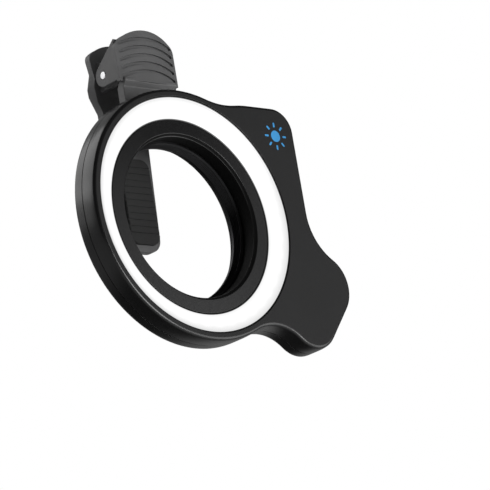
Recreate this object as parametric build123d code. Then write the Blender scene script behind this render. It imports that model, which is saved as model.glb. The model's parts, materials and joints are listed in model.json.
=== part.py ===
from build123d import *
import os
from math import acos, atan2, cos, degrees, hypot, pi, radians, sin, sqrt, tan

# Rechargeable macro ring light on its sprung phone clip.
# Millimetres. X is right seen from the front, Y runs back along the optical axis, Z is up.
# The origin is on the optical axis, where the straight wall of the lens bore starts.
# Front views are drawn as (x, z), and turned sections as (radius, y).

# Ring of the light, from the lens bore outwards
bore_radius = 24.1
bore_bevel = 0.8
bevel_share = 0.9
annulus_width = 3.9
bore_flange = 1.5
diffuser_width = 6.3
bezel_width = 2.3
part_groove = 0.15
diffuser_dish = 2.5
diffuser_thickness = 1.3
body_thickness = 9.0
front_to_bore = 3.1
bezel_step = 0.2

# Small lengths that many pieces share: a clearance, a root inside a wall, and the reach of a cutter
fit = 0.1
root = 0.2
beyond = 200.0

# Shells
wall = 1.6
skin = 1.6
front_round = 1.0
back_round = 0.9
seam_share = 0.58
seam_gap = 0.1
tongue_length = 1.0
tongue_clearance = 0.1
rib_thickness = 1.0
seat_width = 3.0

# Grip outline: straight top and right side, thumb lobe, heel lobe, finger valley
grip_reach = 6.36
grip_drop = 2.3
corner_radius = 7.25
brow_radius = 33.8
brow_x = 27.0
dip_radius = 26.7
waist_radius = 15.9
thumb_out, thumb_z, thumb_radius = 8.2, -18.95, 10.3
heel_out, heel_z, heel_radius = 1.3, -29.0, 9.4
valley_radius = 14.5

# Rear thread of the light, a 52 mm filter thread, and the ring that screws into it
thread_radius = 26.0
thread_depth = 1.6
thread_clearance = 0.08
ring_edge = 0.4
hub_width = 3.6
tube_step = 0.3

# Light engine
led_count = 42
led_size = 2.8
led_height = 0.7
board_thickness = 1.0
board_setback = 1.7
floor_thickness = 0.6
tab_length, tab_width = 5.5, 6.0
window_size = 3.4
tray_wall = 0.7
tray_slope = 0.6
flange_width = 0.5
flange_root = 0.6
seat_depth = 1.0

# Control board and what it carries
control_y = -0.1
control_bottom_z = 3.5
control_inset = 0.4
control_reach = 3.5
ring_clearance = 0.9
edge_clearance = 0.3
switch_z = (22.0, 11.0)
switch_length, switch_width, switch_height = 4.7, 3.1, 2.4
plunger_length, plunger_height, plunger_reach, plunger_pocket = 1.6, 1.2, 1.0, 1.4
button_length, button_height = 7.0, 3.0
button_proud = 0.7
button_travel = 0.35
button_clearance = 0.15
button_flange = 0.8
button_round = 0.45
button_rim = 0.55
socket_slack = 0.4
lens_z = 16.5
lens_radius = 0.8
lens_flange, lens_rim = 0.6, 0.4
indicator_depth, indicator_width = 1.2, 1.6
usb_x = 31.0
usb_width, usb_height, usb_depth = 8.94, 3.26, 7.35
usb_wall = 0.3
solder_gap = 0.02
usb_sink = 0.2
usb_back = 0.8
tongue_width, tongue_thickness, tongue_back = 6.7, 0.7, 1.1
pin_radius = 0.3
pin_pitch = 1.8
pin_stub = 0.3
link_offset = 2.1
header_width = 1.6
link_angle = 25.0
charger_chip, driver_chip = ((10.2, 10.2), 3.0, 0.9), ((5.7, 9.0), 2.0, 0.8)

# Battery, turned to lie along the outer edge of the grip
battery_width, battery_length, battery_thickness = 14.0, 20.0, 5.0
battery_corner = 1.5
battery_setback, battery_shift = 1.85, 0.2
tape_margin = 2.0
tape_thickness = 0.3
lead_radius = 0.4
lead_stand = 0.35
lead_inset = 6.75
bend_share = 0.45
lead_shifts, lead_offsets = (0.0, 1.05), (-5.9, -4.9)
lead_rise = ((4.6, 3.0), (2.5, 7.4))
lead_run = ((0.3, -0.4), (0.0, 2.4), (0.4, 4.9))

# Screws
screw_radius = 0.75
screw_head_radius, screw_head_height = 1.7, 1.2
screw_sink = 0.3
screw_end = 0.6
boss_radius = 1.8
rear_boss_radius = 2.2
hole_clearance = 0.2
head_clearance = 0.15
small_screw_radius = 0.55
small_head_radius, small_head_height = 1.15, 0.8
bezel_screw_angles = (90.0, 210.0, 330.0)
brow_screw_inset = (5.7, 3.7)
corner_screw_inset = (4.2, 4.0)
side_screw_inset, side_screw_z = 2.8, 0.6
valley_screw_out, valley_screw_angle = 4.3, -45.1
waist_screw_gap, waist_screw_angle = 0.4, 216.8
board_screw_inset = (7.5, 7.0)
low_board_screw_inset, low_board_screw_z = 4.85, 6.7

# Clip: ring frame and front lever
clip_gap = 0.3
frame_width = 3.5
frame_thickness = 3.5
frame_seat = 1.0
frame_lip = 1.0
frame_edge = 0.6
foot_share = 0.8
throat_ring_radius = 23.2
ring_pad_thickness = 1.5
ring_pad_inset, ring_pad_edge = 1.4, 0.5
lever_width = 22.4
arm_width = 20.0
arm_foot_width = 30.0
arm_thickness = 3.0
arm_flare = 9.0
pad_height = 16.0
pad_thickness = 2.6
pad_step = 1.5
pad_crown = 45.0
pad_top_radius = 16.0
pad_corner = 1.5
pad_margin = 1.5
groove_count = 5
groove_pitch = 2.5
groove_width = 1.0
groove_depth = 0.7
groove_radius = 26.0
first_groove = 2.6
ear_thickness = 1.8
ear_inset = 0.2
ear_root, rear_ear_root = 0.5, 1.2
front_ear_reach, rear_ear_reach = 9.0, 6.0

# Clip: hinge, spring and rear lever
pivot_y, pivot_z = 14.8, 47.0
pin_shaft_radius = 1.25
pin_clearance = 0.05
pin_chamfer = 0.25
ear_radius = 3.4
ear_gap = 0.4
lever_top_z = 59.0
handle_thickness = 2.2
handle_top_y, handle_root_y = 22.3, 20.6
handle_skirt = 2.0
knee_drop, jaw_bend, shoulder_drop = 6.0, 2.0, 9.0
jaw_arm_width, jaw_tip_width = 16.0, 12.0
jaw_arm_thickness = 2.6
jaw_tip_z = -4.0
jaw_pad_thickness = 1.1
jaw_pad_width, jaw_pad_top = 11.0, 24.0
jaw_rib, jaw_rib_width, jaw_rib_x = 1.2, 1.4, 4.0
jaw_tip_round = 4.0
jaw_pad_round, jaw_pad_rise, jaw_pad_edge = 3.0, 2.0, 0.3
phone_thickness = 8.3
spring_wire = 1.0
spring_radius = 2.6
spring_turns = 5
spring_pitch = 1.7
spring_leg_inset = 3.0
spring_rest_gap = 0.1

# Levels along the optical axis, front to back
front_y = -front_to_bore
back_y = front_y + body_thickness
diffuser_y = front_y + bezel_step
seam_y = front_y + body_thickness * seam_share
inner_front_y = front_y + skin
inner_back_y = back_y - skin
shoulder_y = back_y - thread_depth
flange_y = -bore_bevel * bevel_share
dish_y = diffuser_y + diffuser_dish
flange_back_y = dish_y + bore_flange
bezel_back_y = diffuser_y + diffuser_thickness - fit
diffuser_seat_y = bezel_back_y + seat_depth
led_board_y = inner_back_y - board_setback
tray_floor_y = led_board_y - floor_thickness
control_back_y = control_y + board_thickness
frame_y = back_y + clip_gap
frame_back_y = frame_y + frame_thickness
jaw_y = frame_back_y + ring_pad_thickness
screen_y = jaw_y + phone_thickness
pad_y = frame_y + root
arm_y = pad_y + pad_step
arm_back_y = arm_y + arm_thickness
jaw_arm_y = screen_y + jaw_pad_thickness
spring_leg_top = lever_top_z - spring_leg_inset

# Radii of the ring, from the lens bore outwards
bore_edge_radius = bore_radius + bore_bevel
annulus_radius = bore_edge_radius + annulus_width
diffuser_inner = annulus_radius + part_groove
diffuser_outer = diffuser_inner + diffuser_width
ring_radius = diffuser_outer + part_groove + bezel_width
flange_radius = diffuser_outer + flange_width
tray_outer = flange_radius
hub_radius = thread_radius + hub_width
tray_inner = hub_radius + fit
bezel_screw_circle = thread_radius + hub_width / 2
frame_seat_radius = thread_radius + frame_seat
frame_radius = frame_seat_radius + frame_width

# Grip lines and centres in the front view
grip_right = ring_radius + grip_reach
grip_top = ring_radius - grip_drop
thumb = (ring_radius + thumb_out, thumb_z)
heel = (ring_radius + heel_out, heel_z)
button_y = control_back_y + switch_height / 2
usb_y = control_back_y + usb_height / 2 + solder_gap


def toward(start, end):
    """Unit vector from one point to another in the front view."""
    length = hypot(end[0] - start[0], end[1] - start[1])
    return ((end[0] - start[0]) / length, (end[1] - start[1]) / length)


def stepped(point, direction, distance):
    """Point at a distance from another one."""
    return (point[0] + direction[0] * distance, point[1] + direction[1] * distance)


def polar(radius, angle):
    """Front view point at an angle in degrees from +X."""
    return (radius * cos(radians(angle)), radius * sin(radians(angle)))


def touching_centre(a, a_radius, b, b_radius, radius, side):
    """Centre of the circle that touches circles a and b from outside, left (1) or right (-1) of a to b."""
    span = hypot(b[0] - a[0], b[1] - a[1])
    along = (span**2 + (a_radius + radius) ** 2 - (b_radius + radius) ** 2) / (2 * span)
    across = sqrt((a_radius + radius) ** 2 - along**2) * side
    ux, uz = toward(a, b)
    return (a[0] + ux * along - uz * across, a[1] + uz * along + ux * across)


def bend(centre, radius, start, end, long_way=False):
    """Arc about a centre, between two unit directions."""
    middle = toward((0, 0), (start[0] + end[0], start[1] + end[1]))
    reach = -radius if long_way else radius
    points = (stepped(centre, start, radius), stepped(centre, middle, reach), stepped(centre, end, radius))
    return ThreePointArc(*points)


ring_centre = (0.0, 0.0)
brow = (brow_x, grip_top - brow_radius)
dip = touching_centre(ring_centre, ring_radius, brow, brow_radius, dip_radius, 1)
corner = (grip_right - corner_radius, grip_top - corner_radius)
waist_rise = sqrt((waist_radius + thumb_radius) ** 2 - (grip_right + waist_radius - thumb[0]) ** 2)
waist = (grip_right + waist_radius, thumb[1] + waist_rise)
valley = touching_centre(ring_centre, ring_radius, heel, heel_radius, valley_radius, -1)


def outer_edge_normal():
    """Outward direction of the straight edge that touches the thumb and heel lobes."""
    span = hypot(thumb[0] - heel[0], thumb[1] - heel[1])
    along = (heel_radius - thumb_radius) / span
    across = sqrt(1 - along**2)
    ux, uz = toward(heel, thumb)
    return (ux * along + uz * across, uz * along - ux * across)


def outline(inset=0.0):
    """Front outline of the light, drawn a wall thickness or so inside its outer edge."""
    out, up, right = outer_edge_normal(), (0, 1), (1, 0)
    top, side = grip_top - inset, grip_right - inset
    rim = bend(ring_centre, ring_radius - inset, toward(ring_centre, valley), toward(ring_centre, dip), True)
    dip_arc = bend(dip, dip_radius + inset, toward(dip, ring_centre), toward(dip, brow))
    brow_arc = bend(brow, brow_radius - inset, toward(brow, dip), up)
    corner_arc = bend(corner, corner_radius - inset, up, right)
    waist_arc = bend(waist, waist_radius + inset, (-1, 0), toward(waist, thumb))
    thumb_arc = bend(thumb, thumb_radius - inset, toward(thumb, waist), out)
    heel_arc = bend(heel, heel_radius - inset, out, toward(heel, valley))
    valley_arc = bend(valley, valley_radius + inset, toward(valley, heel), toward(valley, ring_centre))
    top_line = Line((brow[0], top), (corner[0], top))
    side_line = Line((side, corner[1]), (side, waist[1]))
    outer_line = Line(stepped(thumb, out, thumb_radius - inset), stepped(heel, out, heel_radius - inset))
    edges = [rim, dip_arc, brow_arc, top_line, corner_arc, side_line, waist_arc, thumb_arc]
    return make_face(edges + [outer_line, heel_arc, valley_arc])


def across(y):
    """Plane square to the optical axis, seen from the front."""
    return Plane(origin=(0, y, 0), x_dir=(1, 0, 0), z_dir=(0, -1, 0))


def slab(face, start_y, end_y):
    """Front view face made solid between two levels."""
    return extrude(across(end_y) * face, amount=end_y - start_y)


def disc(point, radius, start_y, end_y):
    """Round post along the optical axis."""
    return slab(Pos(*point) * Circle(radius), start_y, end_y)


def turned(*corners):
    """Ring turned about the optical axis from the corners of its section."""
    return revolve(make_face(Polyline(*corners, close=True)), axis=Axis.Y)


def band(inner, outer, start_y, end_y):
    """Plain turned ring."""
    return turned((inner, start_y), (outer, start_y), (outer, end_y), (inner, end_y))


def side_plate(face, start_x, end_x):
    """Side view face, drawn as (y, z), made solid between two places along X."""
    plane = Plane(origin=(start_x, 0, 0), x_dir=(0, 1, 0), z_dir=(1, 0, 0))
    return extrude(plane * face, amount=end_x - start_x)


def block(centre, size):
    """Box by its centre and size along X, Y and Z."""
    return Pos(*centre) * Box(*size)


def joined(solids):
    """Separate solids of one node."""
    return Compound(children=[s if isinstance(s, Solid) else s.solids()[0] for s in solids])


def screw_points():
    """Case screws, each seated in a corner that the outline leaves free."""
    top_left = (brow[0] - brow_screw_inset[0], grip_top - brow_screw_inset[1])
    top_right = (grip_right - corner_screw_inset[0], grip_top - corner_screw_inset[1])
    side = (grip_right - side_screw_inset, side_screw_z)
    valley_side = polar(ring_radius + valley_screw_out, valley_screw_angle)
    waist_side = stepped(waist, polar(1, waist_screw_angle), waist_radius + wall + waist_screw_gap)
    return [top_left, top_right, side, valley_side, waist_side]


def board_screw_points():
    """Two small screws that hold the control board to posts of the front shell."""
    upper = (grip_right - board_screw_inset[0], grip_top - board_screw_inset[1])
    return [upper, (grip_right - low_board_screw_inset, low_board_screw_z)]


def bezel_screw_points():
    """Three small screws behind the bore ring."""
    return [polar(bezel_screw_circle, angle) for angle in bezel_screw_angles]


def side_openings():
    """Cutters for the buttons, the indicator and the charging socket, half in each shell."""
    inner_x, outer_x = grip_right - wall - button_flange, grip_right + button_proud
    long_side, short_side = button_length + 2 * button_clearance, button_height + 2 * button_clearance
    cutters = [Pos(0, button_y, z) * button_bar(long_side, short_side, inner_x, outer_x) for z in switch_z]
    lens = Plane(origin=(inner_x, button_y, lens_z), z_dir=(1, 0, 0)) * Circle(lens_radius)
    cutters.append(extrude(lens, amount=outer_x - inner_x))
    inner_z, outer_z = grip_top - wall - usb_wall, grip_top + wall
    cutters.append(usb_bar(usb_width + socket_slack, usb_height + socket_slack, inner_z, outer_z))
    return cutters


def button_bar(length, height, start_x, end_x):
    """Bar with round ends, long side up, pushed along X."""
    plane = Plane(origin=(start_x, 0, 0), x_dir=(0, 0, 1), z_dir=(1, 0, 0))
    return extrude(plane * SlotOverall(length, height), amount=end_x - start_x)


def usb_bar(width, height, start_z, end_z):
    """Bar with the round ended section of the charging socket."""
    plane = Plane(origin=(usb_x, usb_y, start_z), x_dir=(1, 0, 0), z_dir=(0, 0, 1))
    return extrude(plane * SlotOverall(width, height), amount=end_z - start_z)


def front_shell():
    """Front cover: flat face with a round window, rounded rim, screw bosses and a locating tongue."""
    shell = slab(outline(), front_y, seam_y - seam_gap / 2)
    shell = fillet(shell.faces().sort_by(Axis.Y)[0].edges(), front_round)
    shell -= slab(outline(wall), inner_front_y, seam_y)
    tongue = slab(outline(wall / 2 + tongue_clearance), seam_y - tongue_length, seam_y + tongue_length)
    shell += tongue - slab(outline(wall), inner_front_y, seam_y + tongue_length)
    rib_radius = flange_radius + fit
    rib = band(rib_radius, rib_radius + rib_thickness, inner_front_y - root, control_y - pin_stub)
    shell += rib & slab(outline(wall / 2), inner_front_y - root, control_y)
    for point in screw_points():
        shell += disc(point, boss_radius, inner_front_y - root, seam_y - seam_gap / 2)
    for point in board_screw_points():
        shell += disc(point, small_head_radius, inner_front_y - root, control_y)
    window = turned(
        (0, front_y - skin),
        (diffuser_outer + part_groove, front_y - skin),
        (diffuser_outer + part_groove, bezel_back_y - fit),
        (rib_radius, bezel_back_y - fit),
        (rib_radius, seam_y + tongue_length),
        (0, seam_y + tongue_length),
    )
    shell -= window
    for point in screw_points():
        shell -= disc(point, screw_radius, inner_front_y + root, seam_y + tongue_length)
    for point in board_screw_points():
        shell -= disc(point, small_screw_radius, inner_front_y + root, seam_y)
    for cutter in side_openings():
        shell -= cutter
    return shell


def rear_shell():
    """Rear cover: rounded back edge, thread hub, sunk screw holes and the seat of the led board."""
    shell = slab(outline(), seam_y + seam_gap / 2, back_y)
    shell = fillet(shell.faces().sort_by(Axis.Y)[-1].edges(), back_round)
    shell -= slab(outline(wall), seam_y, inner_back_y)
    shell -= slab(outline(wall / 2), seam_y, seam_y + tongue_length + tongue_clearance)
    for point in screw_points():
        shell += disc(point, rear_boss_radius, seam_y + seam_gap / 2, inner_back_y + root)
    trim = slab(outline(wall / 2), seam_y, seam_y + tongue_length + tongue_clearance)
    trim -= slab(outline(wall), seam_y, seam_y + tongue_length + tongue_clearance)
    shell -= trim
    shell += band(thread_radius, hub_radius, shoulder_y, back_y - root)
    seat_inner = (diffuser_inner + diffuser_outer - seat_width) / 2
    shell += band(seat_inner, seat_inner + seat_width, led_board_y + board_thickness, inner_back_y + root)
    shell -= disc(ring_centre, thread_radius, seam_y, back_y + skin)
    for point in screw_points():
        head_y = back_y - screw_sink - screw_head_height
        shell -= disc(point, screw_radius + hole_clearance, seam_y, back_y)
        shell -= disc(point, screw_head_radius + head_clearance, head_y, back_y + skin)
    for point in bezel_screw_points():
        head_y = back_y - screw_sink - small_head_height
        shell -= disc(point, small_screw_radius + fit, seam_y, back_y)
        shell -= disc(point, small_head_radius + fit, head_y, back_y + skin)
    for cutter in side_openings():
        shell -= cutter
    return shell


def bore_ring():
    """Dark inner bezel and the wall of the lens bore, with three screw bosses behind the flange."""
    tube_radius = thread_radius + tube_step
    ring = turned(
        (bore_radius, 0),
        (bore_edge_radius, flange_y),
        (annulus_radius, dish_y),
        (annulus_radius, flange_back_y),
        (tube_radius, flange_back_y),
        (tube_radius, shoulder_y),
        (bore_radius, shoulder_y),
    )
    for point in bezel_screw_points():
        ring += disc(point, small_head_radius + head_clearance, flange_back_y - root, shoulder_y)
    for point in bezel_screw_points():
        ring -= disc(point, small_screw_radius, flange_back_y + root, shoulder_y + skin)
    return ring


def diffuser():
    """White ring dished towards the lens, with an outer flange under the bezel."""
    slope = diffuser_dish / diffuser_width
    flange_start = diffuser_outer - flange_root
    under_y = diffuser_y + diffuser_thickness
    return turned(
        (diffuser_inner, dish_y),
        (diffuser_outer, diffuser_y),
        (diffuser_outer, bezel_back_y),
        (flange_radius, bezel_back_y),
        (flange_radius, diffuser_seat_y),
        (flange_start, diffuser_seat_y),
        (flange_start, under_y + slope * flange_root),
        (diffuser_inner, dish_y + diffuser_thickness),
    )


def led_places():
    """Places round the ring, each turned to face along its radius."""
    return PolarLocations((tray_inner + tray_outer) / 2, led_count)


def reflector_tray():
    """White tray under the diffuser, with a window for each led."""
    slope = diffuser_dish / diffuser_width
    lip_y = dish_y + diffuser_thickness - slope * (tray_inner - diffuser_inner) + solder_gap
    tray = turned(
        (tray_inner, lip_y),
        (tray_inner + tray_wall, lip_y),
        (tray_inner + tray_wall + tray_slope, tray_floor_y),
        (tray_outer - tray_wall - tray_slope, tray_floor_y),
        (tray_outer - tray_wall, diffuser_seat_y),
        (tray_outer, diffuser_seat_y),
        (tray_outer, led_board_y),
        (tray_inner, led_board_y),
    )
    windows = Sketch() + led_places() * Rectangle(window_size, window_size)
    return tray - slab(windows, tray_floor_y - root, led_board_y + root)


def link_points():
    """Header pins between the led board's tab and the control board."""
    middle, along = polar(ring_radius + link_offset, link_angle), polar(1, link_angle + 90)
    return [stepped(middle, along, k * pin_pitch) for k in (-1, 0, 1)]


def led_board():
    """Ring board with a tab under the control board."""
    start_y, end_y = led_board_y, led_board_y + board_thickness
    tab_place = Rot(0, 0, link_angle) * Pos(tray_outer - root + tab_length / 2, 0)
    tab = tab_place * Rectangle(tab_length, tab_width)
    board = band(tray_inner, tray_outer, start_y, end_y) + slab(tab, start_y, end_y)
    for point in link_points():
        board -= disc(point, pin_radius + fit / 2, start_y - root, end_y + root)
    return board


def led_chips():
    """One led in each window of the tray."""
    chips = led_places() * Rectangle(led_size, led_size)
    return joined([slab(chip, led_board_y - led_height, led_board_y) for chip in chips])


def control_board():
    """Board that fills the grip's upper corner, cut round the ring and the screw bosses."""
    start_y, end_y = control_y, control_back_y
    window = Circle(ring_radius + ring_clearance)
    board = slab(outline(wall + control_inset) - window, start_y, end_y)
    inner_x = brow[0] - control_reach
    outer_x = grip_right - wall - button_flange - button_travel - edge_clearance
    length = outer_x - inner_x
    area = Pos(inner_x + length / 2, control_bottom_z + beyond / 2) * Rectangle(length, beyond)
    board &= slab(area, start_y, end_y)
    for point in screw_points():
        board -= disc(point, rear_boss_radius, start_y, end_y)
    for point in board_screw_points():
        board -= disc(point, small_screw_radius + fit, start_y, end_y)
    for point in link_points():
        board -= disc(point, pin_radius + fit / 2, start_y, end_y)
    return board.solids().sort_by(SortBy.VOLUME)[-1]


def board_chips():
    """Charging chip and led driver on the back of the control board."""
    chips = []
    for (x, z), size, height in (charger_chip, driver_chip):
        centre = (grip_right - x, control_back_y + height / 2, grip_top - z)
        chips.append(block(centre, (size, height, size)))
    return joined(chips)


def header_block():
    """Plastic spacer of the header between the two boards."""
    place = Pos(*polar(ring_radius + link_offset, link_angle)) * Rot(0, 0, link_angle)
    strip = place * Rectangle(header_width, 3 * pin_pitch)
    spacer = slab(strip, control_back_y, led_board_y)
    for point in link_points():
        spacer -= disc(point, pin_radius, control_back_y, led_board_y)
    return spacer


def header_pins():
    """Three brass pins through both boards."""
    start_y, end_y = control_y - pin_stub, led_board_y + board_thickness + pin_stub
    return joined([disc(point, pin_radius, start_y, end_y) for point in link_points()])


def usb_socket():
    """Metal shell of the charging socket, closed at its inner end."""
    mouth_z = grip_top - usb_sink
    back_z = mouth_z - usb_depth
    shell = usb_bar(usb_width, usb_height, back_z, mouth_z)
    return shell - usb_bar(usb_width - 2 * usb_wall, usb_height - 2 * usb_wall, back_z + usb_back, mouth_z)


def usb_tongue():
    """Contact tongue that stands in the middle of the socket."""
    root_z = grip_top - usb_sink - usb_depth + usb_back
    length = usb_depth - usb_back - tongue_back
    return block((usb_x, usb_y, root_z + length / 2), (tongue_width, tongue_thickness, length))


def switch_places():
    """Right side of each switch base, where its plunger comes out."""
    x = grip_right - wall - button_flange - fit - plunger_reach
    return [(x, button_y, z) for z in switch_z]


def tact_switches():
    """Side pressed switch bases at the edge of the control board."""
    bases = []
    for x, y, z in switch_places():
        base = block((x - switch_width / 2, y, z), (switch_width, switch_height, switch_length))
        hole = (plunger_pocket, plunger_height + fit, plunger_length + fit)
        bases.append(base - block((x - hole[0] / 2, y, z), hole))
    return joined(bases)


def plunger(place):
    """Stem of one switch, free to go in by the button's travel."""
    x, y, z = place
    length = plunger_reach + plunger_pocket - button_travel - fit / 2
    return block((x + plunger_reach - length / 2, y, z), (length, plunger_height, plunger_length))


def button(place):
    """Rounded bar that stands proud of the side wall, held in by a flange behind it."""
    x, y, z = place
    start_x = x + plunger_reach
    cap = button_bar(button_length, button_height, start_x, grip_right + button_proud)
    cap = fillet(cap.faces().sort_by(Axis.X)[-1].edges(), button_round)
    rim = 2 * button_rim
    cap += button_bar(button_length + rim, button_height + rim, start_x, start_x + button_flange)
    return Pos(0, y, z) * cap


def indicator_lens():
    """Clear light guide, flush with the side wall."""
    inner_x = grip_right - wall - lens_flange
    plane = Plane(origin=(inner_x, button_y, lens_z), z_dir=(1, 0, 0))
    stem = extrude(plane * Circle(lens_radius - fit / 2), amount=wall + lens_flange)
    return stem + extrude(plane * Circle(lens_radius + lens_rim), amount=lens_flange)


def indicator_led():
    """Small led on the edge of the control board, behind its light guide."""
    x = grip_right - wall - 2 * lens_flange - indicator_depth / 2
    size = (indicator_depth, indicator_depth, indicator_width)
    return block((x, control_back_y + indicator_depth / 2, lens_z), size)


def battery_frame():
    """Front view location whose X axis points out square to the straight outer edge."""
    out = outer_edge_normal()
    middle = ((thumb[0] + heel[0]) / 2, (thumb[1] + heel[1]) / 2)
    centre = stepped(stepped(middle, out, -battery_setback), (-out[1], out[0]), -battery_shift)
    return Pos(*centre) * Rot(0, 0, degrees(atan2(out[1], out[0])))


def battery_slab(width, length, start_y, end_y):
    """Slab in the battery's own frame, with its corners rounded."""
    return slab(battery_frame() * RectangleRounded(width, length, battery_corner), start_y, end_y)


def battery_cell():
    """Lithium pouch cell."""
    start_y = inner_front_y + tape_thickness
    return battery_slab(battery_width, battery_length, start_y, start_y + battery_thickness)


def battery_tape():
    """Adhesive tape between the cell and the front shell."""
    width, length = battery_width - 2 * tape_margin, battery_length - 2 * tape_margin
    return battery_slab(width, length, inner_front_y, inner_front_y + tape_thickness)


def battery_foam():
    """Foam that the rear shell presses on the cell."""
    start_y = inner_front_y + tape_thickness + battery_thickness
    width, length = battery_width - 2 * tape_margin, battery_length - 3 * tape_margin
    return battery_slab(width, length, start_y, inner_back_y)


def lead_start(offset):
    """Point on the cell's upper end, at an offset from its middle line."""
    place = (battery_frame() * Pos(offset, battery_length / 2 + lead_stand)).position
    return (place.X, place.Y)


def lead_route(shift, offset):
    """Front view route of one lead, from the cell round the side boss to the control board."""
    side = grip_right - lead_inset + shift
    start = lead_start(offset)
    rising = [(side + x, start[1] + z) for x, z in lead_rise]
    return [start] + rising + [(side + x, z) for x, z in lead_run]


def lead_radii(points):
    """Bend radius at each inner point: as large as the shorter run beside it allows."""
    radii = []
    for before, point, after in zip(points, points[1:], points[2:]):
        first, second = toward(before, point), toward(point, after)
        turn = acos(max(-1.0, min(1.0, first[0] * second[0] + first[1] * second[1])))
        run_in = hypot(point[0] - before[0], point[1] - before[1])
        run_out = hypot(after[0] - point[0], after[1] - point[1])
        radii.append(bend_share * min(run_in, run_out) / tan(turn / 2))
    return radii


def battery_leads():
    """Two insulated leads, side by side between the shells."""
    lead_y = control_back_y + lead_radius + solder_gap
    leads = []
    for shift, offset in zip(lead_shifts, lead_offsets):
        points = lead_route(shift, offset)
        radii = lead_radii(points)
        print("lead bend radii", [round(r, 2) for r in radii])
        path = FilletPolyline(*[(x, lead_y, z) for x, z in points], radius=radii)
        section = Plane(origin=path @ 0, z_dir=path % 0) * Circle(lead_radius)
        leads.append(sweep(section, path=path))
    return joined(leads)


def screw(point, radius, head_radius, head_height, tip_y, head_y):
    """Pan head screw put in from behind, its head starting at head_y."""
    return disc(point, radius, tip_y, head_y) + disc(point, head_radius, head_y, head_y + head_height)


def case_screws():
    """Screws that hold the shells together round the grip."""
    head_y = back_y - screw_sink - screw_head_height
    size = (screw_radius, screw_head_radius, screw_head_height)
    return joined([screw(p, *size, inner_front_y + screw_end, head_y) for p in screw_points()])


def bezel_screws():
    """Screws that pull the bore ring against the hub of the rear shell."""
    head_y = back_y - screw_sink - small_head_height
    size = (small_screw_radius, small_head_radius, small_head_height)
    return joined([screw(p, *size, flange_back_y + screw_end, head_y) for p in bezel_screw_points()])


def board_screws():
    """Screws that hold the control board."""
    size = (small_screw_radius, small_head_radius, small_head_height)
    return joined([screw(p, *size, inner_front_y + screw_end, control_back_y) for p in board_screw_points()])


def thread_ring():
    """Metal ring of the clip: its male thread goes into the light, its flange into the frame."""
    male = thread_radius - thread_clearance
    start_y = shoulder_y + fit
    return turned(
        (throat_ring_radius + ring_edge, start_y),
        (male - ring_edge, start_y),
        (male, start_y + ring_edge),
        (male, frame_y),
        (frame_seat_radius, frame_y),
        (frame_seat_radius, frame_back_y - frame_lip),
        (throat_ring_radius, frame_back_y - frame_lip),
        (throat_ring_radius, start_y + ring_edge),
    )


def ring_frame():
    """Frame of the front lever that holds the thread ring behind the light."""
    frame = turned(
        (frame_seat_radius, frame_y),
        (frame_radius - frame_edge, frame_y),
        (frame_radius, frame_y + frame_edge),
        (frame_radius, frame_back_y - frame_edge),
        (frame_radius - frame_edge, frame_back_y),
        (throat_ring_radius + frame_seat, frame_back_y),
        (throat_ring_radius + frame_seat, frame_back_y - frame_lip),
        (frame_seat_radius, frame_back_y - frame_lip),
    )
    return frame


def lever_front_view():
    """Front view of the front lever: arched finger pad, arm, and a foot that flares to the ring."""
    pad_bottom = lever_top_z - pad_height
    pad_face = arched_plate(lever_width, pad_bottom, lever_top_z)
    foot_z, arm_top = frame_radius * foot_share, pad_bottom + pad_step
    arm = Polyline(
        (-arm_foot_width / 2, foot_z),
        (-arm_width / 2, foot_z + arm_flare),
        (-arm_width / 2, arm_top),
        (arm_width / 2, arm_top),
        (arm_width / 2, foot_z + arm_flare),
        (arm_foot_width / 2, foot_z),
        close=True,
    )
    return pad_face + make_face(arm)


def arched_plate(width, bottom_z, top_z):
    """Plate with an arched top and rounded corners, seen from the front."""
    arch = Pos(0, top_z - pad_top_radius) * Circle(pad_top_radius)
    height = top_z - bottom_z
    plate = Pos(0, (bottom_z + top_z) / 2) * Rectangle(width, height)
    shaped = plate & (arch + Pos(0, top_z - pad_top_radius - beyond / 2) * Rectangle(width, beyond))
    return fillet(shaped.vertices().sort_by(Axis.Y)[-2:], pad_corner)


def finger_grooves(front_y_at_middle):
    """Five arched grooves across the finger pad, of one depth on its crowned face."""
    floor = Pos(0, front_y_at_middle + pad_crown, 0) * Cylinder(pad_crown - groove_depth, beyond)
    cutters = []
    for k in range(groove_count):
        crest = lever_top_z - first_groove - k * groove_pitch
        centre = Pos(0, crest - groove_radius)
        ring = centre * (Circle(groove_radius) - Circle(groove_radius - groove_width))
        window = Pos(0, crest) * Rectangle(lever_width - 2 * pad_margin, groove_radius)
        slot = slab(ring & window, front_y_at_middle - pad_step, front_y_at_middle + pad_height)
        cutters.append(slot - floor)
    return cutters


def ear(y_root, reach_z, start_x, end_x, bore):
    """Ear from a lever to the hinge, with a round boss about the pivot."""
    boss = Pos(pivot_y, pivot_z) * Circle(ear_radius)
    side = -1 if y_root < pivot_y else 1
    web = Polyline(
        (pivot_y, pivot_z - ear_radius),
        (y_root, pivot_z - ear_radius),
        (y_root, pivot_z + reach_z),
        (pivot_y - side * ear_radius * cos(pi / 4), pivot_z + ear_radius * sin(pi / 4)),
        close=True,
    )
    face = boss + make_face(web) - Pos(pivot_y, pivot_z) * Circle(bore)
    return side_plate(face, start_x, end_x)


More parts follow.
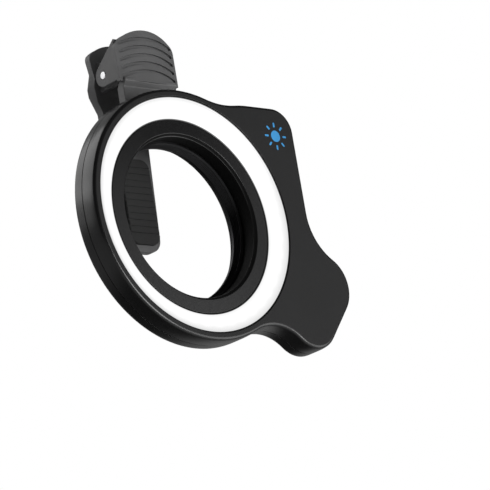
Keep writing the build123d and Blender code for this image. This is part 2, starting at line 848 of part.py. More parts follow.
def clip_front_lever():
    """Front lever: finger pad, arm, ring frame and two outer ears."""
    pad_bottom, foot_z = lever_top_z - pad_height, frame_radius * foot_share
    pad_back = pad_y + pad_thickness
    side_view = Polyline(
        (pad_y, lever_top_z),
        (pad_y, pad_bottom),
        (arm_y, pad_bottom - pad_step),
        (arm_y, foot_z),
        (frame_back_y, foot_z),
        (frame_back_y, frame_radius),
        (arm_back_y, frame_radius + pad_step),
        (arm_back_y, pad_bottom - pad_step),
        (pad_back, pad_bottom + pad_step),
        (pad_back, lever_top_z),
        close=True,
    )
    plate = side_plate(make_face(side_view), -arm_foot_width / 2, arm_foot_width / 2)
    plate &= slab(lever_front_view(), pad_y - pad_step, arm_back_y + pad_step)
    plate &= Pos(0, pad_y + pad_crown, 0) * Cylinder(pad_crown, beyond)
    plate -= disc(ring_centre, frame_radius - frame_width / 2, pad_y, arm_back_y)
    for cutter in finger_grooves(pad_y):
        plate -= cutter
    lever = plate + ring_frame()
    outer_x = lever_width / 2 - ear_inset
    for start_x in (-outer_x, outer_x - ear_thickness):
        lever += ear(pad_back - ear_root, front_ear_reach, start_x, start_x + ear_thickness, pin_shaft_radius)
    return lever


def handle_inner_y(z):
    """Inner face of the rear handle at a height."""
    share = (z - pivot_z) / (lever_top_z - pivot_z)
    return handle_root_y - handle_thickness + share * (handle_top_y - handle_root_y)


def clip_rear_lever():
    """Rear lever: finger plate, two inner ears, and the arm that reaches down behind the screen."""
    arm_back = jaw_arm_y + jaw_arm_thickness
    side_view = Polyline(
        (handle_inner_y(lever_top_z), lever_top_z),
        (handle_inner_y(pivot_z), pivot_z),
        (jaw_arm_y, pivot_z - knee_drop),
        (jaw_arm_y, jaw_tip_z),
        (arm_back, jaw_tip_z),
        (arm_back, pivot_z - knee_drop + jaw_bend),
        (handle_root_y, pivot_z + knee_drop - 2 * jaw_bend),
        (handle_top_y, lever_top_z),
        close=True,
    )
    plate = side_plate(make_face(side_view), -lever_width / 2, lever_width / 2)
    skirt_z, shoulder_z = pivot_z - handle_skirt, pivot_z - shoulder_drop
    handle = arched_plate(lever_width, skirt_z, lever_top_z)
    arm = Polyline(
        (-lever_width / 2, skirt_z),
        (-jaw_arm_width / 2, shoulder_z),
        (-jaw_tip_width / 2, jaw_tip_z),
        (jaw_tip_width / 2, jaw_tip_z),
        (jaw_arm_width / 2, shoulder_z),
        (lever_width / 2, skirt_z),
        close=True,
    )
    lever = plate & slab(handle + make_face(arm), pivot_y, arm_back + skin)
    tips = lever.edges().filter_by(Axis.Y).sort_by(Axis.Z)[:2]
    lever = fillet(tips, jaw_tip_round)
    rib_top, rib_bottom = shoulder_z, jaw_tip_z + 2 * jaw_tip_round
    for x in (-jaw_rib_x, jaw_rib_x):
        middle = (x, arm_back + (jaw_rib - root) / 2, (rib_top + rib_bottom) / 2)
        lever += block(middle, (jaw_rib_width, jaw_rib + root, rib_top - rib_bottom))
    outer_x, bore = lever_width / 2 - ear_inset - ear_thickness - ear_gap, pin_shaft_radius + pin_clearance
    for start_x in (-outer_x, outer_x - ear_thickness):
        lever += ear(handle_root_y - rear_ear_root, rear_ear_reach, start_x, start_x + ear_thickness, bore)
    return lever


def hinge_pin():
    """Steel pin across the four ears."""
    half = lever_width / 2 - fit
    plane = Plane(origin=(-half, pivot_y, pivot_z), z_dir=(1, 0, 0))
    pin = extrude(plane * Circle(pin_shaft_radius), amount=2 * half)
    return chamfer(pin.edges().filter_by(GeomType.CIRCLE), pin_chamfer)


def ring_pad():
    """Rubber ring that lies against the back of the phone, round its lenses."""
    inner, outer = throat_ring_radius + ring_pad_inset, frame_radius - frame_lip
    return turned(
        (inner, frame_back_y),
        (outer, frame_back_y),
        (outer, jaw_y - ring_pad_edge),
        (outer - ring_pad_edge, jaw_y),
        (inner + ring_pad_edge, jaw_y),
        (inner, jaw_y - ring_pad_edge),
    )


def jaw_pad():
    """Rubber pad that lies against the screen."""
    bottom = jaw_tip_z + jaw_pad_rise
    length = jaw_pad_top - bottom
    face = Pos(0, (bottom + jaw_pad_top) / 2) * RectangleRounded(jaw_pad_width, length, jaw_pad_round)
    pad = slab(face, screen_y, jaw_arm_y)
    return chamfer(pad.faces().sort_by(Axis.Y)[0].edges(), jaw_pad_edge)


def leg_tangent(leg_y):
    """Angle about the pin where a straight leg from its tip meets the coil, and the tip itself."""
    tip = (leg_y, spring_leg_top)
    reach = hypot(tip[0] - pivot_y, tip[1] - pivot_z)
    heading = degrees(atan2(tip[1] - pivot_z, tip[0] - pivot_y))
    swing = degrees(acos(spring_radius / reach))
    return heading, swing, tip


def coil_point(angle, start_angle):
    """Point of the coil's centre line, and the direction in which the wire runs there."""
    rise = spring_pitch / 360.0
    total = 180.0 * (2 * spring_turns + 1)
    x = (angle - start_angle - total / 2) * rise
    a = radians(angle)
    point = Vector(x, pivot_y + spring_radius * cos(a), pivot_z + spring_radius * sin(a))
    run = Vector(rise * 180.0 / pi, -spring_radius * sin(a), spring_radius * cos(a)).normalized()
    return point, run


def biarc(start, start_run, end, end_run):
    """Two arcs that join two points and share their directions there."""
    chord, runs = end - start, start_run + end_run
    a = 2.0 * (1.0 - start_run.dot(end_run))
    b = 2.0 * chord.dot(runs)
    c = -chord.dot(chord)
    reach = (-b + sqrt(b * b - 4 * a * c)) / (2 * a) if abs(a) > 1e-9 else -c / b
    middle = (start + start_run * reach + end - end_run * reach) * 0.5
    first = TangentArc(start, middle, tangent=start_run)
    second = TangentArc(end, middle, tangent=end_run * -1)
    return [first, second]


def torsion_spring():
    """Coil round the hinge pin, with one leg on each handle."""
    front_tip_y = pad_y + pad_thickness + spring_wire / 2 + spring_rest_gap
    rear_tip_y = handle_inner_y(spring_leg_top) - spring_wire / 2 - spring_rest_gap
    heading, swing, front_tip = leg_tangent(front_tip_y)
    start_angle = heading + swing
    rear_heading, rear_swing, rear_tip = leg_tangent(rear_tip_y)
    end_angle = rear_heading - rear_swing + 360.0 * (spring_turns + 1)
    steps = 2 * spring_turns + 1
    angles = [start_angle + (end_angle - start_angle) * k / steps for k in range(steps + 1)]
    stations = [coil_point(angle, start_angle) for angle in angles]
    first_point, first_run = stations[0]
    last_point, last_run = stations[-1]
    front_leg = hypot(front_tip[0] - first_point.Y, front_tip[1] - first_point.Z)
    rear_leg = hypot(rear_tip[0] - last_point.Y, rear_tip[1] - last_point.Z)
    edges = [Line(first_point - first_run * front_leg, first_point)]
    for (start, start_run), (end, end_run) in zip(stations, stations[1:]):
        edges += biarc(start, start_run, end, end_run)
    edges.append(Line(last_point, last_point + last_run * rear_leg))
    path = Wire(edges)
    print("spring least gap", round(least_gap(path), 3))
    section = Plane(origin=path @ 0, z_dir=path % 0) * Circle(spring_wire / 2)
    return sweep(section, path=path)


def least_gap(path):
    """Smallest space between two stretches of the wire that aren't neighbours along it."""
    count = 400
    points = [path @ (k / count) for k in range(count + 1)]
    apart = int(count * 2.5 * spring_radius / path.length) + 1
    pairs = ((i, j) for i in range(count + 1) for j in range(i + apart, count + 1))
    return min((points[i] - points[j]).length for i, j in pairs) - spring_wire


def parts():
    """Every node of the light and its clip, by name."""
    power_place, mode_place = switch_places()
    return {
        "front_shell": front_shell(),
        "rear_shell": rear_shell(),
        "bore_ring": bore_ring(),
        "diffuser": diffuser(),
        "reflector_tray": reflector_tray(),
        "led_board": led_board(),
        "led_chips": led_chips(),
        "control_board": control_board(),
        "board_chips": board_chips(),
        "header_block": header_block(),
        "header_pins": header_pins(),
        "usb_socket": usb_socket(),
        "usb_tongue": usb_tongue(),
        "tact_switches": tact_switches(),
        "power_plunger": plunger(power_place),
        "mode_plunger": plunger(mode_place),
        "power_button": button(power_place),
        "mode_button": button(mode_place),
        "indicator_lens": indicator_lens(),
        "indicator_led": indicator_led(),
        "battery_cell": battery_cell(),
        "battery_tape": battery_tape(),
        "battery_foam": battery_foam(),
        "battery_leads": battery_leads(),
        "case_screws": case_screws(),
        "bezel_screws": bezel_screws(),
        "board_screws": board_screws(),
        "clip_front_lever": clip_front_lever(),
        "thread_ring": thread_ring(),
        "ring_pad": ring_pad(),
        "clip_rear_lever": clip_rear_lever(),
        "jaw_pad": jaw_pad(),
        "hinge_pin": hinge_pin(),
        "torsion_spring": torsion_spring(),
    }


os.makedirs("parts", exist_ok=True)
for name, solid in parts().items():
    export_step(solid, f"parts/{name}.step")
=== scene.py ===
import json
from math import acos, asin, atan2, ceil, copysign, cos, degrees, hypot, pi, radians, sin, sqrt

import bmesh
import bpy
from mathutils import Matrix, Vector


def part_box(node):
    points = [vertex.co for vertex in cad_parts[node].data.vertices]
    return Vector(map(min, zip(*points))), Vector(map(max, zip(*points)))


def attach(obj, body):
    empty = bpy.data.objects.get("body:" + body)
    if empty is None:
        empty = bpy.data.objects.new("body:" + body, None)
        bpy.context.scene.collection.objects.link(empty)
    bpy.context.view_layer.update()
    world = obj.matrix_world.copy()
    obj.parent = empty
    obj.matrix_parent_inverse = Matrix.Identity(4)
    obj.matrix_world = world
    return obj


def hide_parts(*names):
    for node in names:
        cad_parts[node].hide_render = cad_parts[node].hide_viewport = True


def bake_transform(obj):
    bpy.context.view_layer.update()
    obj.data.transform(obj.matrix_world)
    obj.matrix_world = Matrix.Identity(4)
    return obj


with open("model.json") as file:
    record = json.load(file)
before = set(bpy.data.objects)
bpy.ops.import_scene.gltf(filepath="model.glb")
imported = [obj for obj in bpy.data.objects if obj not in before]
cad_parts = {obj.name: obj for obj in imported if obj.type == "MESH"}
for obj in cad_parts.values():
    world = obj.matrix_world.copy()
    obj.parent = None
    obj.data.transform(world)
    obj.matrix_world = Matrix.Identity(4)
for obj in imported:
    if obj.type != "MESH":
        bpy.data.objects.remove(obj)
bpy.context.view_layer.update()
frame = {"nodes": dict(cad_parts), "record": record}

# Macro ring light on its sprung phone clip, dressed piece by piece.
# Pieces are drawn in millimetres and made metres when they are settled on their body.
# X is right seen from the front, Y runs back along the optical axis, Z is up.
# Points closer than near count as one, and cutters reach past what they cut.
# An arc is drawn in steps of a few degrees that stay under a length.
millimetre = 0.001
near, past = 0.01, 1.0
arc_turn, arc_length = 6.0, 1.4
smooth_angle = 32.0

# Ring of the light, from the lens bore outwards
bore_radius = 24.1
bore_bevel = 0.8
annulus_width = 3.9
diffuser_width = 6.3
bezel_width = 2.3
part_groove = 0.15
diffuser_dish = 2.5
diffuser_thickness = 1.3
flange_front, flange_back, flange_root, root_fall = 0.1, 0.9, 0.6, 0.24
ledge_width, ledge_drop, rim_width, rim_depth = 0.18, 0.1, 0.3, 0.4
front_y = -3.1
diffuser_y = -2.9
dish_y = diffuser_y + diffuser_dish
seam_y = 2.12
shoulder_y = 4.3
back_y = 5.9
bore_edge_radius = bore_radius + bore_bevel
annulus_radius = bore_edge_radius + annulus_width
diffuser_inner = annulus_radius + part_groove
diffuser_outer = diffuser_inner + diffuser_width
window_radius = diffuser_outer + part_groove
ring_radius = window_radius + bezel_width
flange_radius = diffuser_outer + 0.5

# Shells
wall = 1.6
seam_gap = 0.14
seam_bevel = 0.12
crown_steps, round_steps = 4, 6
front_round = 1.0
back_round = 0.9
straight_wall, wall_crown = 1.6, 20.0
thread_radius = 26.0
hub_radius = 29.6
window_bevel, thread_bevel = 0.14, 0.3

# Grip outline: straight top and right side, thumb lobe, heel lobe, finger valley
grip_right = ring_radius + 6.36
grip_top = ring_radius - 2.3
corner_radius = 7.25
brow_radius = 33.8
brow = (27.0, grip_top - brow_radius)
dip_radius = 26.7
waist_radius = 15.9
thumb, thumb_radius = (ring_radius + 8.2, -18.95), 10.3
heel, heel_radius = (ring_radius + 1.3, -29.0), 9.4
valley_radius = 14.5
ring_centre = (0.0, 0.0)

# Screws, buttons, socket; a screw's rounds and recess are shares of its head and shank
screw_sink = 0.3
screw_radius, screw_head_radius, screw_head_height = 0.75, 1.7, 1.2
small_screw_radius, small_head_radius, small_head_height = 0.55, 1.15, 0.8
head_round, recess_reach, recess_half, recess_level, tip_round = 0.45, 0.62, 0.16, 0.4, 0.5
case_tip_y, case_head_y = -0.9, back_y - screw_sink - screw_head_height
bezel_tip_y, bezel_head_y = 1.7, back_y - screw_sink - small_head_height
bezel_screw_angles = (90.0, 210.0, 330.0)
bezel_screw_circle = 27.8
button_length, button_height, button_round = 7.0, 3.0, 0.45
key_flange_rim, key_flange_depth, lens_flange_width, lens_flange_depth = 1.1, 0.8, 2.4, 0.6
slot_room, slot_depth, lens_width = 0.3, 4.0, 1.5
sign_depth, sign_ring, sign_hole, sign_dot = 0.12, 1.8, 1.3, 0.9
stroke_length, stroke_width, stroke_rise = 1.3, 0.3, 0.75
usb_width, usb_height, usb_depth, usb_wall, usb_floor = 8.94, 3.26, 7.35, 0.3, 0.8
contact_count, contact_pitch, contact_half_width, contact_rise = 12, 0.5, 0.13, 0.02
contact_start, contact_ends = 1.0, 1.4

# Clip: ring frame, levers, pads, hinge and spring
frame_y, frame_back_y, frame_radius = 6.2, 9.7, 30.5
frame_seat_radius, throat_radius, frame_lip_y = 27.0, 23.2, frame_back_y - 1.0
ridge_pitch, ridge_depth, step_depth, step_length, thread_edge = 0.6, 0.3, 0.22, 0.25, 0.4
pad_y, pad_thickness, pad_step = 6.4, 2.6, 1.5
pad_back_y = pad_y + pad_thickness
pad_height, pad_crown, pad_top_radius, pad_corner_round, pad_edge = 16.0, 45.0, 16.0, 1.2, 0.32
crown_facets, crown_turn = 320, 0.31
arm_y, arm_back_y = 7.9, 10.9
arm_width, arm_foot_width, arm_flare = 20.0, 30.0, 9.0
lever_width, lever_top_z = 22.4, 59.0
pad_bottom_z = lever_top_z - pad_height
groove_count, groove_pitch, groove_radius, first_groove = 5, 2.5, 26.0, 2.6
groove_half_width, groove_depth, groove_margin = 0.5, 0.7, 1.5
pivot_y, pivot_z, pin_radius, ear_radius = 14.8, 47.0, 1.25, 3.4
ear_thickness, ear_inset, ear_gap = 1.8, 0.2, 0.4
front_ear_rise, rear_ear_rise, ear_round = 9.0, 6.0, 0.25
lever_edge, rear_lever_edge, edge_angle = 0.3, 0.35, 25.0
pin_room, thread_room, seat_depth = 0.05, 0.08, 1.75
handle_thickness, handle_top_y, handle_root_y = 2.2, 22.3, 20.6
jaw_arm_y, jaw_arm_thickness, jaw_tip_z = 20.6, 2.6, -4.0
jaw_arm_width, jaw_tip_width = 16.0, 12.0
jaw_tip_round, jaw_tip_steps = 4.0, 8
rib_inset, rib_width, rib_start, rib_height = 3.3, 1.4, 8.0, 1.5
screen_pad_round, screen_groove_pitch, screen_groove_width, screen_groove_depth = 3.0, 2.0, 0.5, 0.3
spring_wire, spring_radius, spring_turns, spring_pitch = 1.0, 2.6, 5, 1.7
spring_leg_top, spring_steps = 56.0, 32

# Printed sun on the grip
sun_centre = (36.3, 26.4)
sun_disc, ray_start, ray_end, ray_width, ray_count = 1.75, 2.75, 4.2, 0.62, 8
print_depth = 0.08

# Camera, as solved from the photograph's two bright rims, and where its picture is aimed
view_azimuth, view_elevation, view_roll = -44.144, -14.152, -9.595
picture_width, pixels_per_mm, camera_distance = 490, 3.525, 1.0
photo_pixel = (192.847, 141.59)
aim_shift = (4.0, 72.0)
sensor_width = 36.0

# Glow of the diffuser: dots of its leds, and its level at shares of its width.
# The levels also paint shade: near-black ends for the gaps beside it, grey bands near its edges.
led_count, dot_depth, dot_spread = 42, 0.09, 1.6
glow_and_shade_levels = ((0.045, 0.01), (0.06, 0.9), (0.2, 1.0), (0.6, 1.0), (0.86, 0.83), (0.92, 0.74), (0.95, 0.9),
              (0.962, 0.01))

# Studio: what gloss sees of the room and the backdrop, the fill, and the lamps in metres and watts
room_level, backdrop_level, fill_level = 0.03, 0.25, 0.4
softboxes = (
    ("front_key", (0.18, -0.86, -0.21), 0.45, 0.45, 4.8),
    ("right_strip", (0.55, -0.46, -0.25), 0.5, 0.55, 1.9),
    ("front_fill", (0.49, -0.79, 0.15), 0.9, 0.45, 0.58),
    ("rear_top", (-0.37, 0.58, 0.57), 0.75, 0.6, 2.2),
    ("rear_left", (-0.58, 0.61, 0.28), 0.35, 0.4, 0.3))
floor_z, floor_size, floor_white, floor_glow = -0.66, 8.0, (0.85, 0.85, 0.85), 0.4
# Painted shade on the floor, seen only by gloss: its centre, where it starts and ends fading, its darkest
# level
shade_centre, shade_start, shade_end, shade_level = (-0.1, 0.5, 0.0), 0.4, 1.1, 0.06

# Finishes: slot, name, colour, roughness, grain, its depth in millimetres, and for rubber the gloss
satin_black = (0.006, 0.006, 0.0062)
shells = (("shell_front", "satin_shell"), ("shell_rear", "satin_shell_rear"), ("bore_black", "satin_bezel"))
plastics = (
    ("tray_white", "white_tray", (0.86, 0.86, 0.85), 0.5, 0.2, 0.004),
    ("led_yellow", "phosphor", (0.85, 0.7, 0.2), 0.4, 0.1, 0.01),
    ("chip_black", "moulded_chip", (0.03, 0.03, 0.03), 0.6, 0.08, 0.006),
    ("plunger_black", "plunger", (0.04, 0.04, 0.04), 0.5, 0.1, 0.004),
    ("button_black", "button_face", (0.016, 0.016, 0.0165), 0.36, 0.1, 0.003),
    ("lens_clear", "indicator_window", (0.75, 0.78, 0.8), 0.2, 0.1, 0.002),
    ("tape_grey", "tape", (0.45, 0.45, 0.45), 0.7, 0.3, 0.01),
    ("foam_grey", "foam", (0.09, 0.09, 0.09), 0.95, 0.3, 0.05),
    ("lead_red", "insulation", (0.55, 0.03, 0.03), 0.4, 0.2, 0.004),
    ("clip_plastic", "clip_plastic", (0.085, 0.085, 0.086), 0.46, 0.2, 0.006),
    ("pad_rubber", "soft_rubber", (0.02, 0.02, 0.02), 0.8, 0.12, 0.012, 0.3))
metals = (
    ("pin_brass", "plated_brass", (0.8, 0.62, 0.28), 0.25, 0.1, 0.002),
    ("socket_steel", "plated_socket", (0.62, 0.62, 0.64), 0.24, 0.2, 0.002),
    ("switch_steel", "switch_tin", (0.55, 0.55, 0.56), 0.35, 0.2, 0.003),
    ("cell_foil", "pouch_foil", (0.7, 0.7, 0.72), 0.3, 1.2, 0.03),
    ("screw_black", "black_zinc", (0.06, 0.06, 0.065), 0.32, 0.12, 0.003),
    ("screw_steel", "plain_screw", (0.6, 0.6, 0.6), 0.3, 0.12, 0.003),
    ("pin_steel", "hinge_steel", (0.56, 0.56, 0.57), 0.28, 0.3, 0.002),
    ("spring_steel", "spring_wire", (0.6, 0.6, 0.61), 0.25, 0.15, 0.002))


# Selecting and shaping

def alone(piece):
    """Selects one piece and nothing else."""
    bpy.ops.object.select_all(action="DESELECT")
    piece.select_set(True)
    bpy.context.view_layer.objects.active = piece


def added(name, add, **where):
    """A new primitive with nothing else selected."""
    bpy.ops.object.select_all(action="DESELECT")
    add(**where)
    piece = bpy.context.active_object
    piece.name = name
    return piece


def choose(piece, kind, test=lambda item: True):
    """Opens a piece and chooses the points, edges or faces that pass a test."""
    alone(piece)
    bpy.ops.object.mode_set(mode="EDIT")
    bpy.ops.mesh.select_mode(type=kind)
    bpy.ops.mesh.select_all(action="DESELECT")
    mesh = bmesh.from_edit_mesh(piece.data)
    for item in {"VERT": mesh.verts, "EDGE": mesh.edges, "FACE": mesh.faces}[kind]:
        if test(item):
            item.select_set(True)
    bmesh.update_edit_mesh(piece.data)


def close():
    """Back to object mode."""
    bpy.ops.object.mode_set(mode="OBJECT")


def extruded(move):
    """Pulls what is chosen along."""
    bpy.ops.mesh.extrude_region_move(TRANSFORM_OT_translate={"value": move})


def sealed(piece, merge=0.0):
    """Merges doubled points, turns faces outward and closes the piece."""
    bpy.ops.mesh.select_all(action="SELECT")
    if merge:
        bpy.ops.mesh.remove_doubles(threshold=merge)
    bpy.ops.mesh.normals_make_consistent(inside=False)
    close()
    return piece


def at_level(axis, value):
    """Test for an edge or face at one level along an axis."""
    return lambda item: all(abs(v.co[axis] - value) < near for v in item.verts)


def on_radius(y, radius):
    """Test for an edge on a circle round the optical axis."""
    return lambda edge: all(abs(v.co.y - y) < near and abs(hypot(v.co.x, v.co.z) - radius) < near
                            for v in edge.verts)


def bevelled(piece, test, width, segments=3):
    """Rounds the edges that pass the test."""
    choose(piece, "EDGE", test)
    bpy.ops.mesh.bevel(offset=width, segments=segments, affect="EDGES", clamp_overlap=True)
    close()
    return piece


def applied(piece, kind, **settings):
    """Gives a piece a modifier and applies it."""
    alone(piece)
    modifier = piece.modifiers.new(kind.lower(), kind)
    for key, value in settings.items():
        setattr(modifier, key, value)
    bpy.ops.object.modifier_apply(modifier=modifier.name)
    return piece


def softened(piece, width, segments=2, angle=30.0):
    """Rounds every edge that is sharper than an angle."""
    return applied(piece, "BEVEL", width=width, segments=segments, limit_method="ANGLE",
                   angle_limit=radians(angle), use_clamp_overlap=True)


def combined(piece, tools, operation):
    """Joins tools to a piece, cuts them off or keeps what they share."""
    for tool in tools:
        bpy.context.view_layer.update()
        applied(piece, "BOOLEAN", object=tool, operation=operation, solver="EXACT")
        bpy.data.objects.remove(tool)
    return piece


def cut(piece, *tools):
    return combined(piece, tools, "DIFFERENCE")


def fused(piece, *tools):
    return combined(piece, tools, "UNION")


def shared(piece, *tools):
    return combined(piece, tools, "INTERSECT")


def joined(name, pieces):
    """Several closed forms as one piece."""
    alone(pieces[0])
    for piece in pieces:
        piece.select_set(True)
    bpy.ops.object.join()
    pieces[0].name = name
    return pieces[0]


def shifted(piece, move):
    """Moves a piece's mesh."""
    piece.data.transform(Matrix.Translation(move))
    return piece


def placed(name, data):
    """New object in the scene."""
    thing = bpy.data.objects.new(name, data)
    bpy.context.scene.collection.objects.link(thing)
    return thing


# Drawing outlines with a point that is pulled along and spun round

VIEWS = {"front": ((0, 1, 0), lambda a, b, level: (a, level, b)),
         "side": ((-1, 0, 0), lambda a, b, level: (level, a, b)),
         "top": ((0, 0, -1), lambda a, b, level: (a, b, level)),
         "turned_top": ((0, 0, 1), lambda a, b, level: (b, a, level))}


def traced(name, view, level, start, strokes, closed=True):
    """Outline drawn by strokes: places to go to, or centres with degrees to turn."""
    axis, place = VIEWS[view]
    piece = added(name, bpy.ops.mesh.primitive_plane_add, size=1, location=(0, 0, 0))
    bpy.ops.object.mode_set(mode="EDIT")
    bpy.ops.mesh.select_mode(type="VERT")
    bpy.ops.mesh.select_all(action="SELECT")
    bpy.ops.mesh.merge(type="CENTER")
    bpy.ops.transform.translate(value=place(*start, level))
    here = start
    for stroke in strokes:
        if len(stroke) == 2:
            extruded(place(stroke[0] - here[0], stroke[1] - here[1], 0))
            here = stroke
        else:
            here = spun(stroke, here, axis, place, level)
    bpy.ops.mesh.select_all(action="SELECT")
    if closed:
        bpy.ops.mesh.remove_doubles(threshold=near)
        bpy.ops.mesh.edge_face_add()
    close()
    return piece


def spun(stroke, here, axis, place, level):
    """Draws one arc and returns its end."""
    centre, angle = stroke[:2], stroke[2]
    radius = hypot(here[0] - centre[0], here[1] - centre[1])
    steps = max(3, ceil(abs(angle) / arc_turn), ceil(radians(abs(angle)) * radius / arc_length))
    bpy.ops.mesh.spin(steps=steps, angle=radians(angle), center=place(*centre, level), axis=axis)
    start = atan2(here[1] - centre[1], here[0] - centre[0])
    return stepped(centre, (cos(start + radians(angle)), sin(start + radians(angle))), radius)


def pulled(piece, move):
    """Makes an outline solid by pulling its face along."""
    choose(piece, "FACE")
    extruded(move)
    return sealed(piece)


def oblong(left, low, right, high):
    """Corners of a rectangle."""
    return [(left, low), (right, low), (right, high), (left, high)]


def polygon(name, view, level, corners, move):
    """Solid with straight edges."""
    return pulled(traced(name, view, level, corners[0], corners[1:] + [corners[0]]), move)


def lathed(name, section, steps=180):
    """Ring turned from a section of (radius, level) corners."""
    piece = traced(name, "top", 0, section[0], section[1:] + [section[0]], False)
    choose(piece, "EDGE")
    bpy.ops.mesh.spin(steps=steps, angle=2 * pi, center=(0, 0, 0), axis=(0, 1, 0))
    return sealed(piece, near / 10)


def post(name, radius, start_y, end_y, vertices=48, point=ring_centre):
    """Round post along the optical axis, or beside it at a point."""
    middle = (point[0], (start_y + end_y) / 2, point[1])
    piece = rod(name, radius, abs(end_y - start_y), middle, (pi / 2, 0, 0), vertices)
    bpy.ops.object.transform_apply()
    return piece


def rod(name, radius, length, middle, angles, vertices=48):
    """Round rod about its middle, turned by three angles."""
    return added(name, bpy.ops.mesh.primitive_cylinder_add, vertices=vertices, radius=radius, depth=length,
                 location=middle, rotation=angles)


def bar(name, view, level, centre, length, height, depth):
    """Bar with round ends, long along the view's second axis."""
    half, radius = (length - height) / 2, height / 2
    a, b = centre
    strokes = [(a, b + half, 180), (a - radius, b - half), (a, b - half, 180), (a + radius, b + half)]
    piece = traced(name, view, level, (a + radius, b + half), strokes)
    return pulled(piece, VIEWS[view][1](0, 0, depth))


def tube(piece, radius, resolution):
    """Round wire along a drawn line, with closed ends."""
    alone(piece)
    bpy.ops.object.convert(target="CURVE")
    piece.data.bevel_depth = radius
    piece.data.bevel_resolution = resolution
    piece.data.use_fill_caps = True
    alone(piece)
    bpy.ops.object.convert(target="MESH")
    choose(piece, "VERT")
    return sealed(piece, near / 10)


def settled(piece, body, slot, *nodes, material=None):
    """Makes a piece metres, shades it, and puts it on its body for its solids."""
    piece.data.transform(Matrix.Scale(millimetre, 4))
    alone(piece)
    bpy.ops.object.transform_apply()
    bpy.ops.object.shade_smooth_by_angle(angle=radians(smooth_angle))
    applied(piece, "WEIGHTED_NORMAL", keep_sharp=True, weight=50)
    piece.data.materials.clear()
    piece.data.materials.append(material or finish[slot])
    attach(piece, body)
    if nodes:
        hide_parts(*nodes)


# Geometry of the outline

def toward(start, end):
    """Unit vector from one point to another."""
    length = hypot(end[0] - start[0], end[1] - start[1])
    return ((end[0] - start[0]) / length, (end[1] - start[1]) / length)


def stepped(point, direction, distance):
    """Point at a distance from another one."""
    return (point[0] + direction[0] * distance, point[1] + direction[1] * distance)


def polar(radius, angle):
    """Front view point at an angle in degrees from +X."""
    return (radius * cos(radians(angle)), radius * sin(radians(angle)))


def touching_centre(a, a_radius, b, b_radius, radius, side):
    """Centre of the circle that touches a and b, left (1) or right (-1) of a to b."""
    span = hypot(b[0] - a[0], b[1] - a[1])
    along = (span**2 + (a_radius + radius) ** 2 - (b_radius + radius) ** 2) / (2 * span)
    across = sqrt((a_radius + radius) ** 2 - along**2) * side
    ux, uz = toward(a, b)
    return (a[0] + ux * along - uz * across, a[1] + uz * along + ux * across)


dip = touching_centre(ring_centre, ring_radius, brow, brow_radius, dip_radius, 1)
corner = (grip_right - corner_radius, grip_top - corner_radius)
waist_rise = sqrt((waist_radius + thumb_radius) ** 2 - (grip_right + waist_radius - thumb[0]) ** 2)
waist = (grip_right + waist_radius, thumb[1] + waist_rise)
valley = touching_centre(ring_centre, ring_radius, heel, heel_radius, valley_radius, -1)

# Case screws stand in corners that the outline leaves free, and three small ones behind the bore ring
case_screws = [(brow[0] - 5.7, grip_top - 3.7), (grip_right - 4.2, grip_top - 4.0), (grip_right - 2.8, 0.6),
               polar(ring_radius + 4.3, -45.1), stepped(waist, polar(1, 216.8), waist_radius + wall + 0.4)]
bezel_screws = [polar(bezel_screw_circle, angle) for angle in bezel_screw_angles]


def outer_edge_normal():
    """Outward direction of the straight edge between heel and thumb lobes."""
    span = hypot(thumb[0] - heel[0], thumb[1] - heel[1])
    along = (heel_radius - thumb_radius) / span
    across = sqrt(1 - along**2)
    ux, uz = toward(heel, thumb)
    return (ux * along + uz * across, uz * along - ux * across)


def turn(centre, start, end, clockwise):
    """Stroke that turns about a centre from one direction to another."""
    swing = degrees(atan2(end[1], end[0]) - atan2(start[1], start[0])) % 360
    return (*centre, swing - 360 if clockwise else swing)


def outline_strokes():
    """Front outline of the light, clockwise from the finger valley."""
    out, up, right = outer_edge_normal(), (0, 1), (1, 0)
    start_way, dip_way = toward(ring_centre, valley), toward(ring_centre, dip)
    start = stepped(ring_centre, start_way, ring_radius)
    strokes = [
        turn(ring_centre, start_way, dip_way, True),
        turn(dip, toward(dip, ring_centre), toward(dip, brow), False),
        turn(brow, toward(brow, dip), up, True),
        (corner[0], grip_top),
        turn(corner, up, right, True),
        (grip_right, waist[1]),
        turn(waist, (-1, 0), toward(waist, thumb), False),
        turn(thumb, toward(thumb, waist), out, True),
        stepped(heel, out, heel_radius),
        turn(heel, out, toward(heel, valley), True),
        turn(valley, toward(valley, heel), toward(valley, ring_centre), False),
    ]
    return start, strokes


def wall_profile(length, round_by):
    """Steps (inward, outward) of the wall's crown and end round."""
    lean = asin((length - round_by) / (wall_crown - round_by))
    points = []
    for k in range(1, crown_steps + 1):
        angle = lean * k / crown_steps
        points.append((wall_crown * (1 - cos(angle)), wall_crown * sin(angle)))
    inward, outward = points[-1]
    for k in range(1, round_steps + 1):
        angle = lean + (pi / 2 - lean) * k / round_steps
        rise = sin(angle) - sin(lean)
        points.append((inward + round_by * (cos(lean) - cos(angle)), outward + round_by * rise))
    return points


def shell_blank(name, open_y, end_y, round_by):
    """Solid with the light's outline and a crowned, rounded wall."""
    start, strokes = outline_strokes()
    crown_y = open_y + copysign(straight_wall, end_y - open_y)
    blank = pulled(traced(name, "front", open_y, start, strokes), (0, crown_y - open_y, 0))
    choose(blank, "FACE", at_level(1, crown_y))
    here = (0.0, 0.0)
    for point in wall_profile(abs(end_y - crown_y), round_by):
        bpy.ops.mesh.inset(thickness=point[0] - here[0], depth=point[1] - here[1], use_even_offset=True)
        here = point
    close()
    return blank


def hollowed(piece, open_y, floor_y):
    """Sinks a pocket into the open face, inside the wall."""
    choose(piece, "FACE", at_level(1, open_y))
    bpy.ops.mesh.inset(thickness=wall, depth=0, use_even_offset=True)
    extruded((0, floor_y - open_y, 0))
    close()
    return piece


def extent(node):
    """Lowest, highest and middle point of a solid."""
    low, high = (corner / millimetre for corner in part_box(node))
    return low, high, (low + high) / 2


# Materials

